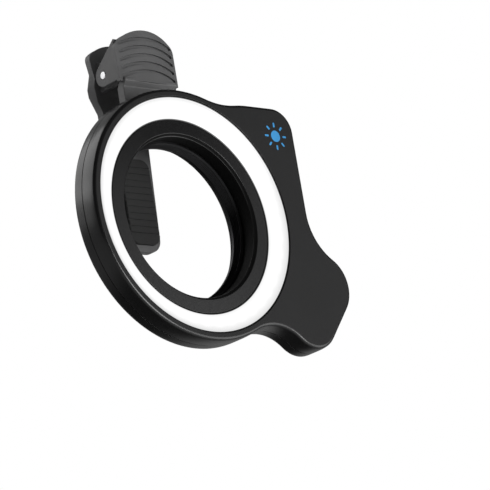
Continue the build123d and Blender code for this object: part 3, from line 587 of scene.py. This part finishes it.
def shader(name, colour, roughness, metallic=0.0, specular=0.5):
    """New material with its plain values set on the shader."""
    material = bpy.data.materials.new(name)
    material.use_nodes = True
    surface = material.node_tree.nodes["Principled BSDF"]
    surface.inputs["Base Color"].default_value = (*colour, 1)
    surface.inputs["Roughness"].default_value = roughness
    surface.inputs["Metallic"].default_value = metallic
    surface.inputs["Specular IOR Level"].default_value = specular
    return material, surface


def linked(beside, kind, inputs=(), **settings):
    """New node beside another, its inputs filled by numbers or by outputs."""
    node = beside.id_data.nodes.new("ShaderNode" + kind)
    for key, value in settings.items():
        setattr(node, key, value)
    for key, value in dict(inputs).items():
        if isinstance(value, bpy.types.NodeSocket):
            feed(node, key, value)
        else:
            node.inputs[key].default_value = value
    return node


def feed(node, key, value):
    """Drives one input of a node by another node's output."""
    node.id_data.links.new(value, node.inputs[key])


def coordinates(beside):
    """Object coordinates, which stay on the piece as it moves."""
    return linked(beside, "TexCoord").outputs["Object"]


def noise(beside, size, detail=3.0):
    """Cloudy pattern of about a size in millimetres."""
    inputs = {"Vector": coordinates(beside), "Scale": 1 / (size * millimetre), "Detail": detail}
    return linked(beside, "TexNoise", inputs).outputs["Fac"]


def math(operation, a, b=0.0, c=0.0, clamp=False):
    """One step of arithmetic on a pattern."""
    inputs = {0: a, 1: b, 2: c}
    return linked(a, "Math", inputs, operation=operation, use_clamp=clamp).outputs[0]


def between(pattern, low, high):
    """From low to high with a cloudy pattern."""
    return mapped(pattern, 0.3, 0.7, low, high)


def mapped(value, start, end, low, high):
    """From low to high while a value goes from start to end."""
    inputs = {"Value": value, "From Min": start, "From Max": end, "To Min": low, "To Max": high}
    return linked(value, "MapRange", inputs).outputs["Result"]


def blended(factor, first, second):
    """Colour between two colours, by a pattern."""
    inputs = {0: factor, 6: (*first, 1), 7: (*second, 1)}
    return linked(factor, "Mix", inputs, data_type="RGBA").outputs[2]


def scaled(colour, level):
    """Colour times a number."""
    return linked(level, "VectorMath", {0: colour, 1: level}, operation="MULTIPLY").outputs[0]


def tinted(surface, colour, size, low, high):
    """Lets the shader's colour drift between two shares of itself."""
    clouds = between(noise(surface, size), 0.0, 1.0)
    shades = (tuple(c * share for c in colour) for share in (low, high))
    feed(surface, "Base Color", blended(clouds, *shades))


def radial(beside):
    """Object coordinates, and the distance from the optical axis."""
    parts = linked(beside, "SeparateXYZ", {0: coordinates(beside)}).outputs
    squares = (math("MULTIPLY", parts[axis], parts[axis]) for axis in "XZ")
    return parts, math("SQRT", math("ADD", *squares))


def embossed(surface, height, depth):
    """Gives the shader a bump of a depth in millimetres."""
    inputs = {"Height": height, "Strength": 1.0, "Distance": depth * millimetre}
    feed(surface, "Normal", linked(surface, "Bump", inputs).outputs["Normal"])


def moulded(name, colour, roughness, grain, depth, specular=0.5, metallic=0.0, drift=0.05):
    """Fine-grained surface whose colour and gloss drift a little."""
    material, surface = shader(name, colour, roughness, metallic, specular)
    tinted(surface, colour, 9.0, 0.88, 1.12)
    speckle = noise(surface, grain * 3, 2.0)
    feed(surface, "Roughness", between(speckle, roughness - drift, roughness + drift))
    embossed(surface, noise(surface, grain, 2.0), depth)
    return material


def turned_metal(name, colour, roughness, line_pitch, depth):
    """Metal with fine turning lines round the optical axis."""
    material, surface = shader(name, colour, roughness, 1.0)
    parts, radius = radial(surface)
    along = math("ADD", radius, parts["Y"])
    lines = math("SINE", math("MULTIPLY", along, 2 * pi / (line_pitch * millimetre)))
    clouds = between(noise(surface, 6.0), roughness - 0.06, roughness + 0.06)
    feed(surface, "Roughness", clouds)
    tinted(surface, colour, 11.0, 0.85, 1.1)
    embossed(surface, lines, depth)
    return material


def ramped(value, stops):
    """Grey between stops of (value, level)."""
    node = linked(value, "ValToRGB", {"Fac": value})
    elements = node.color_ramp.elements
    while len(elements) < len(stops):
        elements.new(0.5)
    for element, (place, level) in zip(elements, stops):
        element.position = place
        element.color = (level, level, level, 1)
    return node.outputs["Color"]


def glowing_with_painted_shade():
    """Milky diffuser lit from behind, with faint led dots; painted shade greys its edges and blackens the
    gaps beside it.
    """
    material, surface = shader("milky_diffuser", (0.1, 0.1, 0.1), 0.35)
    parts, radius = radial(surface)
    middle, half = (diffuser_inner + diffuser_outer) / 2, diffuser_width / 2
    offset = math("SUBTRACT", math("DIVIDE", radius, millimetre), middle)
    across = math("DIVIDE", offset, half)
    # Painted shade: these levels grey the diffuser's edges and black out the gaps beside it
    glow_and_shade = ramped(math("MULTIPLY_ADD", across, 0.5, 0.5), glow_and_shade_levels)
    turned = math("MULTIPLY", math("ARCTAN2", parts["Z"], parts["X"]), led_count)
    wave = math("MULTIPLY_ADD", math("COSINE", turned), 0.5, 0.5)
    fading = math("MULTIPLY", math("ABSOLUTE", across), dot_spread)
    dots = math("MULTIPLY", wave, math("MULTIPLY_ADD", fading, -1.0, 1.0, clamp=True))
    level = math("MULTIPLY_ADD", dots, dot_depth, 1 - dot_depth)
    feed(surface, "Emission Color", scaled(glow_and_shade, level))
    surface.inputs["Emission Strength"].default_value = 1.0
    tint = between(noise(surface, 7.0), 0.09, 0.11)
    # The base colour carries the same painted shade
    feed(surface, "Base Color", scaled(glow_and_shade, tint))
    embossed(surface, noise(surface, 0.2), 0.004)
    return material


def board_mask(name, colour, track):
    """Solder mask over copper tracks."""
    material, surface = shader(name, colour, 0.35)
    inputs = {"Vector": coordinates(surface), "Scale": 420.0, "Color1": (*colour, 1),
              "Color2": (*(c * 0.85 for c in colour), 1), "Mortar": (*track, 1)}
    feed(surface, "Base Color", linked(surface, "TexBrick", inputs).outputs["Color"])
    embossed(surface, noise(surface, 0.4), 0.01)
    return material


def finishes():
    """Every material, by the record's slot name."""
    made = {slot: moulded(name, satin_black, 0.25, 0.3, 0.0004, drift=0.02) for slot, name in shells}
    made.update({slot: moulded(name, *look) for slot, name, *look in plastics})
    made.update({slot: moulded(name, *look, metallic=1.0) for slot, name, *look in metals})
    made["diffuser_white"] = glowing_with_painted_shade()
    made["led_board_white"] = board_mask("white_mask", (0.82, 0.83, 0.8), (0.7, 0.72, 0.66))
    made["board_green"] = board_mask("green_mask", (0.02, 0.14, 0.06), (0.03, 0.24, 0.1))
    made["ring_anodised"] = turned_metal("black_anodised", (0.03, 0.03, 0.031), 0.36, 0.12, 0.002)
    return made


finish = finishes()


# Pieces of the light

def front_cover():
    """Front cover: flat face with a round window."""
    end_y = seam_y - seam_gap / 2
    cover = shell_blank("front_cover", end_y, front_y, front_round)
    bevelled(cover, at_level(1, end_y), seam_bevel, 2)
    hollowed(cover, end_y, front_y + wall)
    window = post("window", window_radius, front_y - past, end_y, 180)
    step = post("step", flange_radius + 0.1, diffuser_y + 1.1, end_y + past, 180)
    cut(cover, window, step, *side_cutters())
    bevelled(cover, on_radius(front_y, window_radius), window_bevel, 2)
    cut(cover, *sun_marks("recess", 0.02, front_y - 0.5, front_y + print_depth))
    settled(cover, "light", "shell_front", "front_shell")


def rear_cover():
    """Rear cover: thread hub and sunk screw holes."""
    start_y = seam_y + seam_gap / 2
    cover = shell_blank("rear_cover", start_y, back_y, back_round)
    bevelled(cover, at_level(1, start_y), seam_bevel, 2)
    hollowed(cover, start_y, back_y - wall)
    fused(cover, post("hub", hub_radius, shoulder_y, back_y - 0.5, 144))
    end_y, wide, small = back_y + past, screw_head_radius + 0.15, small_head_radius + 0.1
    holes = [post("hole", wide, case_head_y, end_y, point=point) for point in case_screws]
    holes += [post("hole", small, bezel_head_y, end_y, point=point) for point in bezel_screws]
    thread = post("thread", thread_radius, start_y - past, end_y, 180)
    cut(cover, thread, *holes, *side_cutters())
    bevelled(cover, on_radius(back_y, thread_radius), thread_bevel, 2)
    settled(cover, "light", "shell_rear", "rear_shell")


def side_cutters():
    """Openings for the buttons, indicator and socket, half in each shell."""
    start_x, depth = grip_right - slot_depth / 2, slot_depth
    length, height = button_length + slot_room, button_height + slot_room
    cutters = []
    for node in ("power_button", "mode_button"):
        middle = extent(node)[2]
        cutters.append(bar("slot", "side", start_x, (middle.y, middle.z), length, height, depth))
    cutters.append(side_disc("slot", start_x, extent("indicator_lens")[2], lens_width + 0.1, depth))
    middle, width, height = extent("usb_socket")[2], usb_width + slot_room, usb_height + slot_room
    centre, start_z = (middle.y, middle.x), grip_top - depth / 2
    cutters.append(bar("slot", "turned_top", start_z, centre, width, height, depth))
    return cutters


def side_disc(name, level, middle, width, depth):
    """Disc on the grip's side: a bar with hardly any straight part."""
    return bar(name, "side", level, (middle.y, middle.z), width + 0.001, width, depth)


def sun_marks(name, slack, start_y, end_y):
    """Disc and rays of the printed sun, between two levels."""
    marks = [post(name, sun_disc + slack, start_y, end_y, point=sun_centre)]
    for k in range(ray_count):
        ray = bar(name, "front", start_y, (0, (ray_start + ray_end) / 2), ray_end - ray_start + 2 * slack,
                  ray_width + 2 * slack, end_y - start_y)
        ray.data.transform(Matrix.Rotation(2 * pi * k / ray_count, 4, "Y"))
        marks.append(shifted(ray, (sun_centre[0], 0, sun_centre[1])))
    return marks


def sun_print():
    """Blue sun, printed flush in the cover's face."""
    ink = moulded("blue_ink", (0.038, 0.26, 0.56), 0.45, 0.12, 0.003, specular=0.3)
    mark = joined("sun_print", sun_marks("mark", 0.0, front_y + 0.005, front_y + print_depth))
    settled(mark, "light", "shell_front", material=ink)


def glow_ring():
    """Milky ring dished towards the lens, with a flange under the bezel."""
    under_y, root = diffuser_y + diffuser_thickness, diffuser_outer - flange_root
    top_y, seat_y = under_y - flange_front, under_y + flange_back
    section = [(diffuser_inner, dish_y), (diffuser_outer, diffuser_y), (diffuser_outer, top_y),
               (flange_radius, top_y), (flange_radius, seat_y), (root, seat_y), (root, under_y + root_fall),
               (diffuser_inner, dish_y + diffuser_thickness)]
    ring = softened(lathed("glow_ring", section, 240), 0.12, 3)
    settled(ring, "light", "diffuser_white", "diffuser")


def lens_bezel():
    """Inner bezel and bore wall, lined with flat black but for a thin ledge."""
    flange_y, back, outer = -0.9 * bore_bevel, dish_y + 1.5, thread_radius + 0.3
    section = [(bore_radius, ledge_drop), (bore_radius + ledge_width, 0),
               (bore_edge_radius - rim_width, flange_y + rim_depth), (bore_edge_radius, flange_y),
               (annulus_radius, dish_y), (annulus_radius, back), (outer, back), (outer, shoulder_y),
               (bore_radius, shoulder_y)]
    ring = softened(lathed("lens_bezel", section, 240), 0.09, 3, 20)
    settled(ring, "light", "bore_black", "bore_ring")
    black = (0.003, 0.003, 0.003)
    ring.data.materials.append(moulded("flat_black_lining", black, 0.7, 0.1, 0.004, specular=0.12))
    for face in ring.data.polygons:
        radius = hypot(face.center.x, face.center.z) / millimetre
        ledge = bore_radius + 0.04 < radius < bore_radius + 0.2
        if radius < bore_edge_radius - 0.06 and not ledge and face.area > 0.1 * millimetre**2:
            face.material_index = 1


def side_button(key):
    """Rounded bar in the side wall, with a flange and a sunk sign."""
    low, high, middle = extent(key + "_button")
    centre = (middle.y, middle.z)
    cap = bar(key + "_cap", "side", low.x, centre, button_length, button_height, high.x - low.x)
    bevelled(cap, at_level(0, high.x), button_round, 4)
    flange = bar("flange", "side", low.x, centre, button_length + key_flange_rim,
                 button_height + key_flange_rim, key_flange_depth)
    cut(cap, *signs(key, middle, high.x))
    fused(cap, flange)
    settled(cap, key + "_key", "button_black", key + "_button")


def signs(key, middle, face_x):
    """Sunk sign of a button: a ring with a stroke, or a dot."""
    start_x, centre = face_x - sign_depth, (middle.y, middle.z + stroke_rise)
    if key == "mode":
        return [side_disc("dot", start_x, middle, sign_dot, past)]
    outer = side_disc("sign", start_x, middle, sign_ring, past)
    cut(outer, side_disc("inner", start_x - past, middle, sign_hole, 3 * past))
    return [outer, bar("stroke", "side", start_x, centre, stroke_length, stroke_width, past)]


def indicator_window():
    """Clear light guide, flush with the side wall."""
    low, high, middle = extent("indicator_lens")
    stem = side_disc("indicator_window", low.x, middle, lens_width, high.x - low.x)
    bevelled(stem, at_level(0, high.x), 0.2)
    fused(stem, side_disc("flange", low.x, middle, lens_flange_width, lens_flange_depth))
    settled(stem, "light", "lens_clear", "indicator_lens")


def charging_socket():
    """Metal shell of the socket, closed at its inner end."""
    low, high, middle = extent("usb_socket")
    centre, length = (middle.y, middle.x), high.z - low.z
    shell = bar("charging_socket", "turned_top", low.z, centre, usb_width, usb_height, length)
    width, height = usb_width - 2 * usb_wall, usb_height - 2 * usb_wall
    cut(shell, bar("inside", "turned_top", low.z + usb_floor, centre, width, height, usb_depth))
    settled(softened(shell, 0.06), "light", "socket_steel", "usb_socket")


def socket_tongue():
    """Tongue of the socket, with its row of plated strips."""
    low, high, middle = extent("usb_tongue")
    length = high.z - low.z
    tongue = polygon("socket_tongue", "top", low.z, oblong(low.x, low.y, high.x, high.y), (0, 0, length))
    settled(softened(tongue, 0.12), "light", "chip_black", "usb_tongue")
    strips = []
    for k in range(contact_count):
        x = middle.x + (k - (contact_count - 1) / 2) * contact_pitch
        strip = oblong(x - contact_half_width, low.y - contact_rise, x + contact_half_width,
                       high.y + contact_rise)
        strips.append(polygon("strip", "top", low.z + contact_start, strip, (0, 0, length - contact_ends)))
    settled(joined("socket_contacts", strips), "light", "pin_brass")


def screw_set(name, node, points, radius, head_radius, head_height, tip_y, head_y):
    """Pan head screws with a cross recess, all copies of one."""
    head = post("head", head_radius, head_y, head_y + head_height, 40)
    bevelled(head, at_level(1, head_y + head_height), head_height * head_round, 4)
    recess_y = head_y + head_height * recess_level
    reach, half = head_radius * recess_reach, head_radius * recess_half
    for a, b in ((reach, half), (half, reach)):
        cut(head, polygon("recess", "front", recess_y, oblong(-a, -b, a, b), (0, head_height, 0)))
    shank = post("shank", radius, tip_y, head_y + 0.05, 24)
    bevelled(shank, at_level(1, tip_y), radius * tip_round, 2)
    fused(head, shank)
    screws = [shifted(placed("screw", head.data.copy()), (x, 0, z)) for x, z in points]
    bpy.data.objects.remove(head)
    settled(joined(name, screws), "light", "screw_black", node)


def light_screws():
    """Screws that show in the back of the light."""
    screw_set("case_screw_heads", "case_screws", case_screws, screw_radius,
              screw_head_radius, screw_head_height, case_tip_y, case_head_y)
    screw_set("bezel_screw_heads", "bezel_screws", bezel_screws, small_screw_radius,
              small_head_radius, small_head_height, bezel_tip_y, bezel_head_y)


# Pieces of the clip

def arched(name, width, bottom_z, top_z, start_y, depth):
    """Plate with an arched top and rounded corners."""
    half, middle = width / 2, top_z - pad_top_radius
    rise = sqrt(pad_top_radius**2 - half**2)
    corner_z = middle + rise
    strokes = [(half, bottom_z), (half, corner_z), turn((0, middle), (half, rise), (-half, rise), False),
               (-half, bottom_z)]
    plate = pulled(traced(name, "front", start_y, (-half, bottom_z), strokes), (0, depth, 0))

    def at_corner(edge):
        return all(abs(abs(v.co.x) - half) < near and abs(v.co.z - corner_z) < near for v in edge.verts)

    return bevelled(plate, at_corner, pad_corner_round, 5)


def crown(depth):
    """Cylinder whose front is the pad's crowned face, or lies below it."""
    centre = (0, pad_y + pad_crown, lever_top_z - 10)
    return rod("crown", pad_crown - depth, 60, centre, (0, 0, radians(crown_turn)), crown_facets)


def finger_pad():
    """Arched finger pad with a crowned face and five arched grooves."""
    pad = arched("finger_pad", lever_width, pad_bottom_z, lever_top_z, pad_y - past, pad_thickness + past)
    shared(pad, crown(0))
    softened(pad, pad_edge, 3, 40)
    grooves = [groove(lever_top_z - first_groove - k * groove_pitch) for k in range(groove_count)]
    return cut(pad, *grooves)


def groove(crest):
    """Cutter for one arched groove, equally deep all along."""
    centre = (0, crest - groove_radius)
    half_swing = 90 - degrees(acos((lever_width / 2 - groove_margin) / groove_radius))
    left, right = (stepped(centre, polar(1, 90 + side * half_swing), groove_radius) for side in (1, -1))
    start = stepped(centre, polar(1, 90 + half_swing), groove_radius + groove_half_width)
    strokes = [(*centre, -2 * half_swing), (*right, -180), (*centre, 2 * half_swing), (*left, -180)]
    band = pulled(traced("groove", "front", pad_y - past, start, strokes), (0, 4, 0))
    return cut(band, crown(groove_depth))


def ear(y_root, top_z, start_x, bore):
    """Ear from a lever to the hinge, rounded about the pivot."""
    backward, low_z = y_root > pivot_y, pivot_z - ear_radius
    reach = (y_root - pivot_y, top_z - pivot_z)
    tangent = atan2(reach[1], reach[0]) + (1 if backward else -1) * acos(ear_radius / hypot(*reach))
    strokes = [(pivot_y, low_z), turn((pivot_y, pivot_z), (0, -1), (cos(tangent), sin(tangent)), backward),
               (y_root, top_z), (y_root, low_z)]
    plate = pulled(traced("ear", "side", start_x, (y_root, low_z), strokes), (ear_thickness, 0, 0))
    for level in (start_x, start_x + ear_thickness):
        bevelled(plate, at_level(0, level), ear_round)
    return cut(plate, rod("bore", bore, ear_thickness * 3, (start_x, pivot_y, pivot_z), (0, pi / 2, 0)))


def ears(root_y, rise, outer_x, bore):
    """The two ears of a lever."""
    return [ear(root_y, pivot_z + rise, x, bore) for x in (-outer_x, outer_x - ear_thickness)]


def front_lever():
    """Front lever: finger pad, arm, ring frame and two outer ears."""
    foot_z, low, top = frame_radius * 0.8, pad_bottom_z - pad_step, pad_bottom_z + pad_step
    half, foot = arm_width / 2, arm_foot_width / 2
    side_view = [(pad_y + 0.4, pad_bottom_z + 1), (pad_y + 0.4, pad_bottom_z), (arm_y, low),
                 (arm_y, foot_z), (frame_back_y, foot_z), (frame_back_y, frame_radius),
                 (arm_back_y, frame_radius + pad_step), (arm_back_y, low), (pad_back_y, top)]
    lever = polygon("front_lever", "side", -foot, side_view, (arm_foot_width, 0, 0))
    front_view = [(-foot, foot_z), (foot, foot_z), (half, foot_z + arm_flare), (half, top), (-half, top),
                  (-half, foot_z + arm_flare)]
    shared(lever, polygon("face", "front", pad_y - past, front_view, (0, 8, 0)))
    softened(lever, lever_edge, 3, edge_angle)
    cut(lever, post("seat", frame_radius - seat_depth, pad_y - past, arm_back_y + past, 180))
    ring = softened(lathed("ring_frame", frame_section()), lever_edge, 3, edge_angle)
    outer_x = lever_width / 2 - ear_inset
    fused(lever, finger_pad(), ring, *ears(pad_back_y - 0.5, front_ear_rise, outer_x, pin_radius))
    settled(lever, "front_lever", "clip_plastic", "clip_front_lever")


def frame_section():
    """Section of the frame that holds the thread ring behind the light."""
    edge, lip_radius = 0.6, throat_radius + 1
    return [(frame_seat_radius, frame_y), (frame_radius - edge, frame_y), (frame_radius, frame_y + edge),
            (frame_radius, frame_back_y - edge), (frame_radius - edge, frame_back_y),
            (lip_radius, frame_back_y), (lip_radius, frame_lip_y), (frame_seat_radius, frame_lip_y)]


def threaded_ring():
    """Metal ring with ridges outside and fine steps in its throat."""
    male, start_y = thread_radius - thread_room, shoulder_y + 0.1
    section = [(throat_radius + thread_edge, start_y), (male - thread_edge, start_y)]
    level = start_y + thread_edge
    while level < frame_y - 0.5:
        section += [(male, level), (male - ridge_depth, level + ridge_pitch / 2)]
        level += ridge_pitch
    section += [(male - ridge_depth, frame_y), (frame_seat_radius, frame_y),
                (frame_seat_radius, frame_lip_y), (throat_radius, frame_lip_y)]
    level = frame_lip_y - 0.8
    while level > start_y + 0.9:
        section += [(throat_radius, level), (throat_radius + step_depth, level - step_length)]
        level -= ridge_pitch
    section.append((throat_radius, start_y + thread_edge))
    ring = lathed("threaded_ring", section, 240)
    settled(ring, "front_lever", "ring_anodised", "thread_ring")


def lens_pad():
    """Rubber ring that lies against the back of the phone."""
    low, high = extent("ring_pad")[:2]
    section = oblong(throat_radius + 1.4, low.y, high.x, high.y)
    ring = softened(lathed("lens_pad", section), 0.45, 4)
    settled(ring, "front_lever", "pad_rubber", "ring_pad")


def handle_inner_y(z):
    """Inner face of the rear handle at a height."""
    share = (z - pivot_z) / (lever_top_z - pivot_z)
    return handle_root_y - handle_thickness + share * (handle_top_y - handle_root_y)


def rear_lever():
    """Rear lever: finger plate, two inner ears, and the arm down to the screen."""
    back, skirt_z, shoulder_z = jaw_arm_y + jaw_arm_thickness, pivot_z - 2, pivot_z - 9
    half, arm, tip = lever_width / 2, jaw_arm_width / 2, jaw_tip_width / 2
    side_view = [(handle_inner_y(lever_top_z), lever_top_z), (handle_inner_y(pivot_z), pivot_z),
                 (jaw_arm_y, pivot_z - 6), (jaw_arm_y, jaw_tip_z), (back, jaw_tip_z), (back, pivot_z - 4),
                 (handle_root_y, pivot_z + 2), (handle_top_y, lever_top_z)]
    lever = polygon("rear_lever", "side", -half, side_view, (lever_width, 0, 0))
    front_view = [(-half, skirt_z), (-arm, shoulder_z), (-tip, jaw_tip_z), (tip, jaw_tip_z),
                  (arm, shoulder_z), (half, skirt_z)]
    blank = polygon("arm", "front", pivot_y, front_view, (0, 12, 0))
    bevelled(blank, at_jaw_corner, jaw_tip_round, jaw_tip_steps)
    fused(blank, arched("handle", lever_width, skirt_z, lever_top_z, pivot_y, 12))
    shared(lever, blank)
    softened(lever, rear_lever_edge, 3, edge_angle)
    ribs = []
    for x in (-rib_inset - rib_width, rib_inset):
        corners = oblong(x, jaw_tip_z + rib_start, x + rib_width, shoulder_z)
        ribs.append(softened(polygon("rib", "front", back - 0.4, corners, (0, rib_height, 0)), 0.3, 3))
    outer_x = half - ear_inset - ear_thickness - ear_gap
    fused(lever, *ribs, *ears(handle_root_y - 1.2, rear_ear_rise, outer_x, pin_radius + pin_room))
    settled(lever, "rear_lever", "clip_plastic", "clip_rear_lever")


def at_jaw_corner(edge):
    """Whether an edge runs from front to back at the jaw's tip."""
    return at_level(2, jaw_tip_z)(edge) and abs(edge.verts[0].co.x - edge.verts[1].co.x) < near


def screen_pad():
    """Rubber pad against the screen, with shallow cross grooves."""
    low, high = extent("jaw_pad")[:2]
    left, right = low.x + screen_pad_round, high.x - screen_pad_round
    bottom, top = low.z + screen_pad_round, high.z - screen_pad_round
    strokes = [(right, low.z), (right, bottom, 90), (high.x, top), (right, top, 90), (left, high.z),
               (left, top, 90), (low.x, bottom), (left, bottom, 90)]
    pad = traced("screen_pad", "front", low.y, (left, low.z), strokes)
    pulled(pad, (0, high.y - low.y, 0))
    bevelled(pad, at_level(1, low.y), 0.3)
    z = low.z + 3
    while z < high.z - 2:
        corners = oblong(low.x - past, z, high.x + past, z + screen_groove_width)
        groove_tool = polygon("groove", "front", low.y - past, corners, (0, past + screen_groove_depth, 0))
        cut(pad, groove_tool)
        z += screen_groove_pitch
    settled(pad, "rear_lever", "pad_rubber", "jaw_pad")


def pivot_pin():
    """Steel pin across the four ears."""
    low, high = extent("hinge_pin")[:2]
    pin = rod("pivot_pin", pin_radius, high.x - low.x, (0, pivot_y, pivot_z), (0, pi / 2, 0))
    bpy.ops.object.transform_apply()
    for x in (low.x, high.x):
        bevelled(pin, at_level(0, x), 0.3)
    settled(pin, "front_lever", "pin_steel", "hinge_pin")


def coil_spring():
    """Coil round the hinge pin, with one leg on each handle."""
    front_tip = (pad_back_y + spring_wire / 2 + 0.1, spring_leg_top)
    rear_tip = (handle_inner_y(spring_leg_top) - spring_wire / 2 - 0.1, spring_leg_top)
    start_angle = tangent_angle(front_tip, 1)
    end_angle = tangent_angle(rear_tip, -1) + 2 * pi * (spring_turns + 1)
    middle, steps = pi * (spring_turns + 0.5), spring_steps * spring_turns
    coil = [coil_point(start_angle + (end_angle - start_angle) * k / steps, start_angle, middle)
            for k in range(steps + 1)]
    path = [Vector((coil[0].x, *front_tip)), *coil, Vector((coil[-1].x, *rear_tip))]
    line = traced("coil_spring", "side", 0, front_tip, [], False)
    shifted(line, (path[0].x, 0, 0))
    choose(line, "VERT")
    for start, end in zip(path, path[1:]):
        extruded(end - start)
    close()
    wire = tube(line, spring_wire / 2, 5)
    wire.data.transform(Matrix.Scale(millimetre, 4))
    bpy.ops.object.shade_smooth_by_angle(angle=radians(40))
    wire.data.materials.append(finish["spring_steel"])
    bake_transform(wire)
    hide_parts("torsion_spring")


def tangent_angle(tip, side):
    """Angle about the pin where a leg from its tip meets the coil."""
    reach = hypot(tip[0] - pivot_y, tip[1] - pivot_z)
    return atan2(tip[1] - pivot_z, tip[0] - pivot_y) + side * acos(spring_radius / reach)


def coil_point(angle, start_angle, middle):
    """Point of the coil's centre line."""
    x = (angle - start_angle - middle) * spring_pitch / (2 * pi)
    return Vector((x, pivot_y + spring_radius * cos(angle), pivot_z + spring_radius * sin(angle)))


def dress_hidden_nodes():
    """Gives every plain solid its own material."""
    for row in frame["record"]["subparts"]:
        node = frame["nodes"][row["node"]]
        node.data.materials.clear()
        node.data.materials.append(finish[row["material_slot"]])


# Camera, lights and floor

def place_camera():
    """Camera at the photograph's angle, aimed to keep the clip's top in the picture."""
    azimuth, elevation, roll = (radians(v) for v in (view_azimuth, view_elevation, view_roll))
    back = Vector((sin(azimuth) * cos(elevation), -cos(azimuth) * cos(elevation), sin(elevation)))
    level = Vector((cos(azimuth), sin(azimuth), 0))
    rise = back.cross(level)
    right = level * cos(roll) + rise * sin(roll)
    up = rise * cos(roll) - level * sin(roll)
    focal = pixels_per_mm * camera_distance / millimetre
    half = picture_width / 2
    seen = Vector((photo_pixel[0] - half, half - photo_pixel[1], -focal))
    wanted = seen + Vector((aim_shift[0], -aim_shift[1], 0))
    target = Vector((0, diffuser_y, 0)) * millimetre
    turned = Matrix((right, up, back)).transposed()
    place = target - turned @ (seen / focal * camera_distance)
    turned = turned @ seen.rotation_difference(wanted).to_matrix().inverted()
    data = bpy.data.cameras.new("camera")
    data.sensor_width = sensor_width
    data.lens = focal / picture_width * sensor_width
    data.clip_start, data.clip_end = 0.05, 20.0
    camera = placed("camera", data)
    camera.matrix_world = Matrix.Translation(place) @ turned.to_4x4()
    bpy.context.scene.camera = camera


def softbox(name, place, width, height, power):
    """Rectangular lamp that looks at the light's middle."""
    data = bpy.data.lights.new(name, "AREA")
    data.shape = "RECTANGLE"
    data.size, data.size_y, data.energy = width, height, power
    lamp = placed(name, data)
    lamp.location = place
    lamp.rotation_euler = (-Vector(place)).to_track_quat("-Z", "Y").to_euler()
    lamp.visible_camera = False


def studio():
    """White backdrop, a dim room that only gloss shows, and soft lamps."""
    world = bpy.data.worlds.new("studio")
    world.use_nodes = True
    bpy.context.scene.world = world
    tree = world.node_tree
    ray = linked(tree, "LightPath").outputs
    way = linked(tree, "SeparateXYZ", {0: linked(tree, "TexCoord").outputs["Generated"]}).outputs
    shown = mapped(way["Y"], 0.25, 0.6, room_level, backdrop_level)
    mirrored = math("MAXIMUM", ray["Is Glossy Ray"], ray["Is Transmission Ray"])
    level = math("MULTIPLY_ADD", mirrored, math("SUBTRACT", shown, fill_level), fill_level)
    background = tree.nodes["Background"]
    feed(background, "Strength", math("MAXIMUM", level, ray["Is Camera Ray"]))
    background.inputs["Color"].default_value = (1, 1, 1, 1)
    for lamp in softboxes:
        softbox(*lamp)


def pale_floor():
    """White floor well below the light, clear when seen from below, with painted shade in its middle that
    only gloss sees.
    """
    floor = added("floor", bpy.ops.mesh.primitive_plane_add, size=floor_size, location=(0, 0, floor_z))
    material, surface = shader("pale_floor", floor_white, 0.6)
    # Painted shade: to gloss the floor's middle is darker, down to shade_level near shade_centre
    inputs = {0: coordinates(surface), 1: shade_centre}
    away = linked(surface, "VectorMath", inputs, operation="DISTANCE").outputs["Value"]
    shown = mapped(away, shade_start, shade_end, shade_level, 1.0)
    ray = linked(surface, "LightPath").outputs
    level = math("MULTIPLY_ADD", ray["Is Glossy Ray"], math("SUBTRACT", shown, 1.0), 1.0)
    feed(surface, "Base Color", scaled(floor_white, level))
    feed(surface, "Emission Strength", math("MULTIPLY", ray["Is Camera Ray"], floor_glow))
    surface.inputs["Emission Color"].default_value = (1, 1, 1, 1)
    side = linked(surface, "NewGeometry").outputs["Backfacing"]
    clear = linked(surface, "BsdfTransparent").outputs[0]
    mix = linked(surface, "MixShader", {0: side, 1: surface.outputs[0], 2: clear})
    feed(material.node_tree.nodes["Material Output"], "Surface", mix.outputs[0])
    floor.data.materials.append(material)


dress_hidden_nodes()
front_cover()
rear_cover()
sun_print()
glow_ring()
lens_bezel()
side_button("power")
side_button("mode")
indicator_window()
charging_socket()
socket_tongue()
light_screws()
front_lever()
threaded_ring()
lens_pad()
rear_lever()
screen_pad()
pivot_pin()
coil_spring()
place_camera()
studio()
pale_floor()
bpy.context.scene.view_settings.view_transform = "Standard"
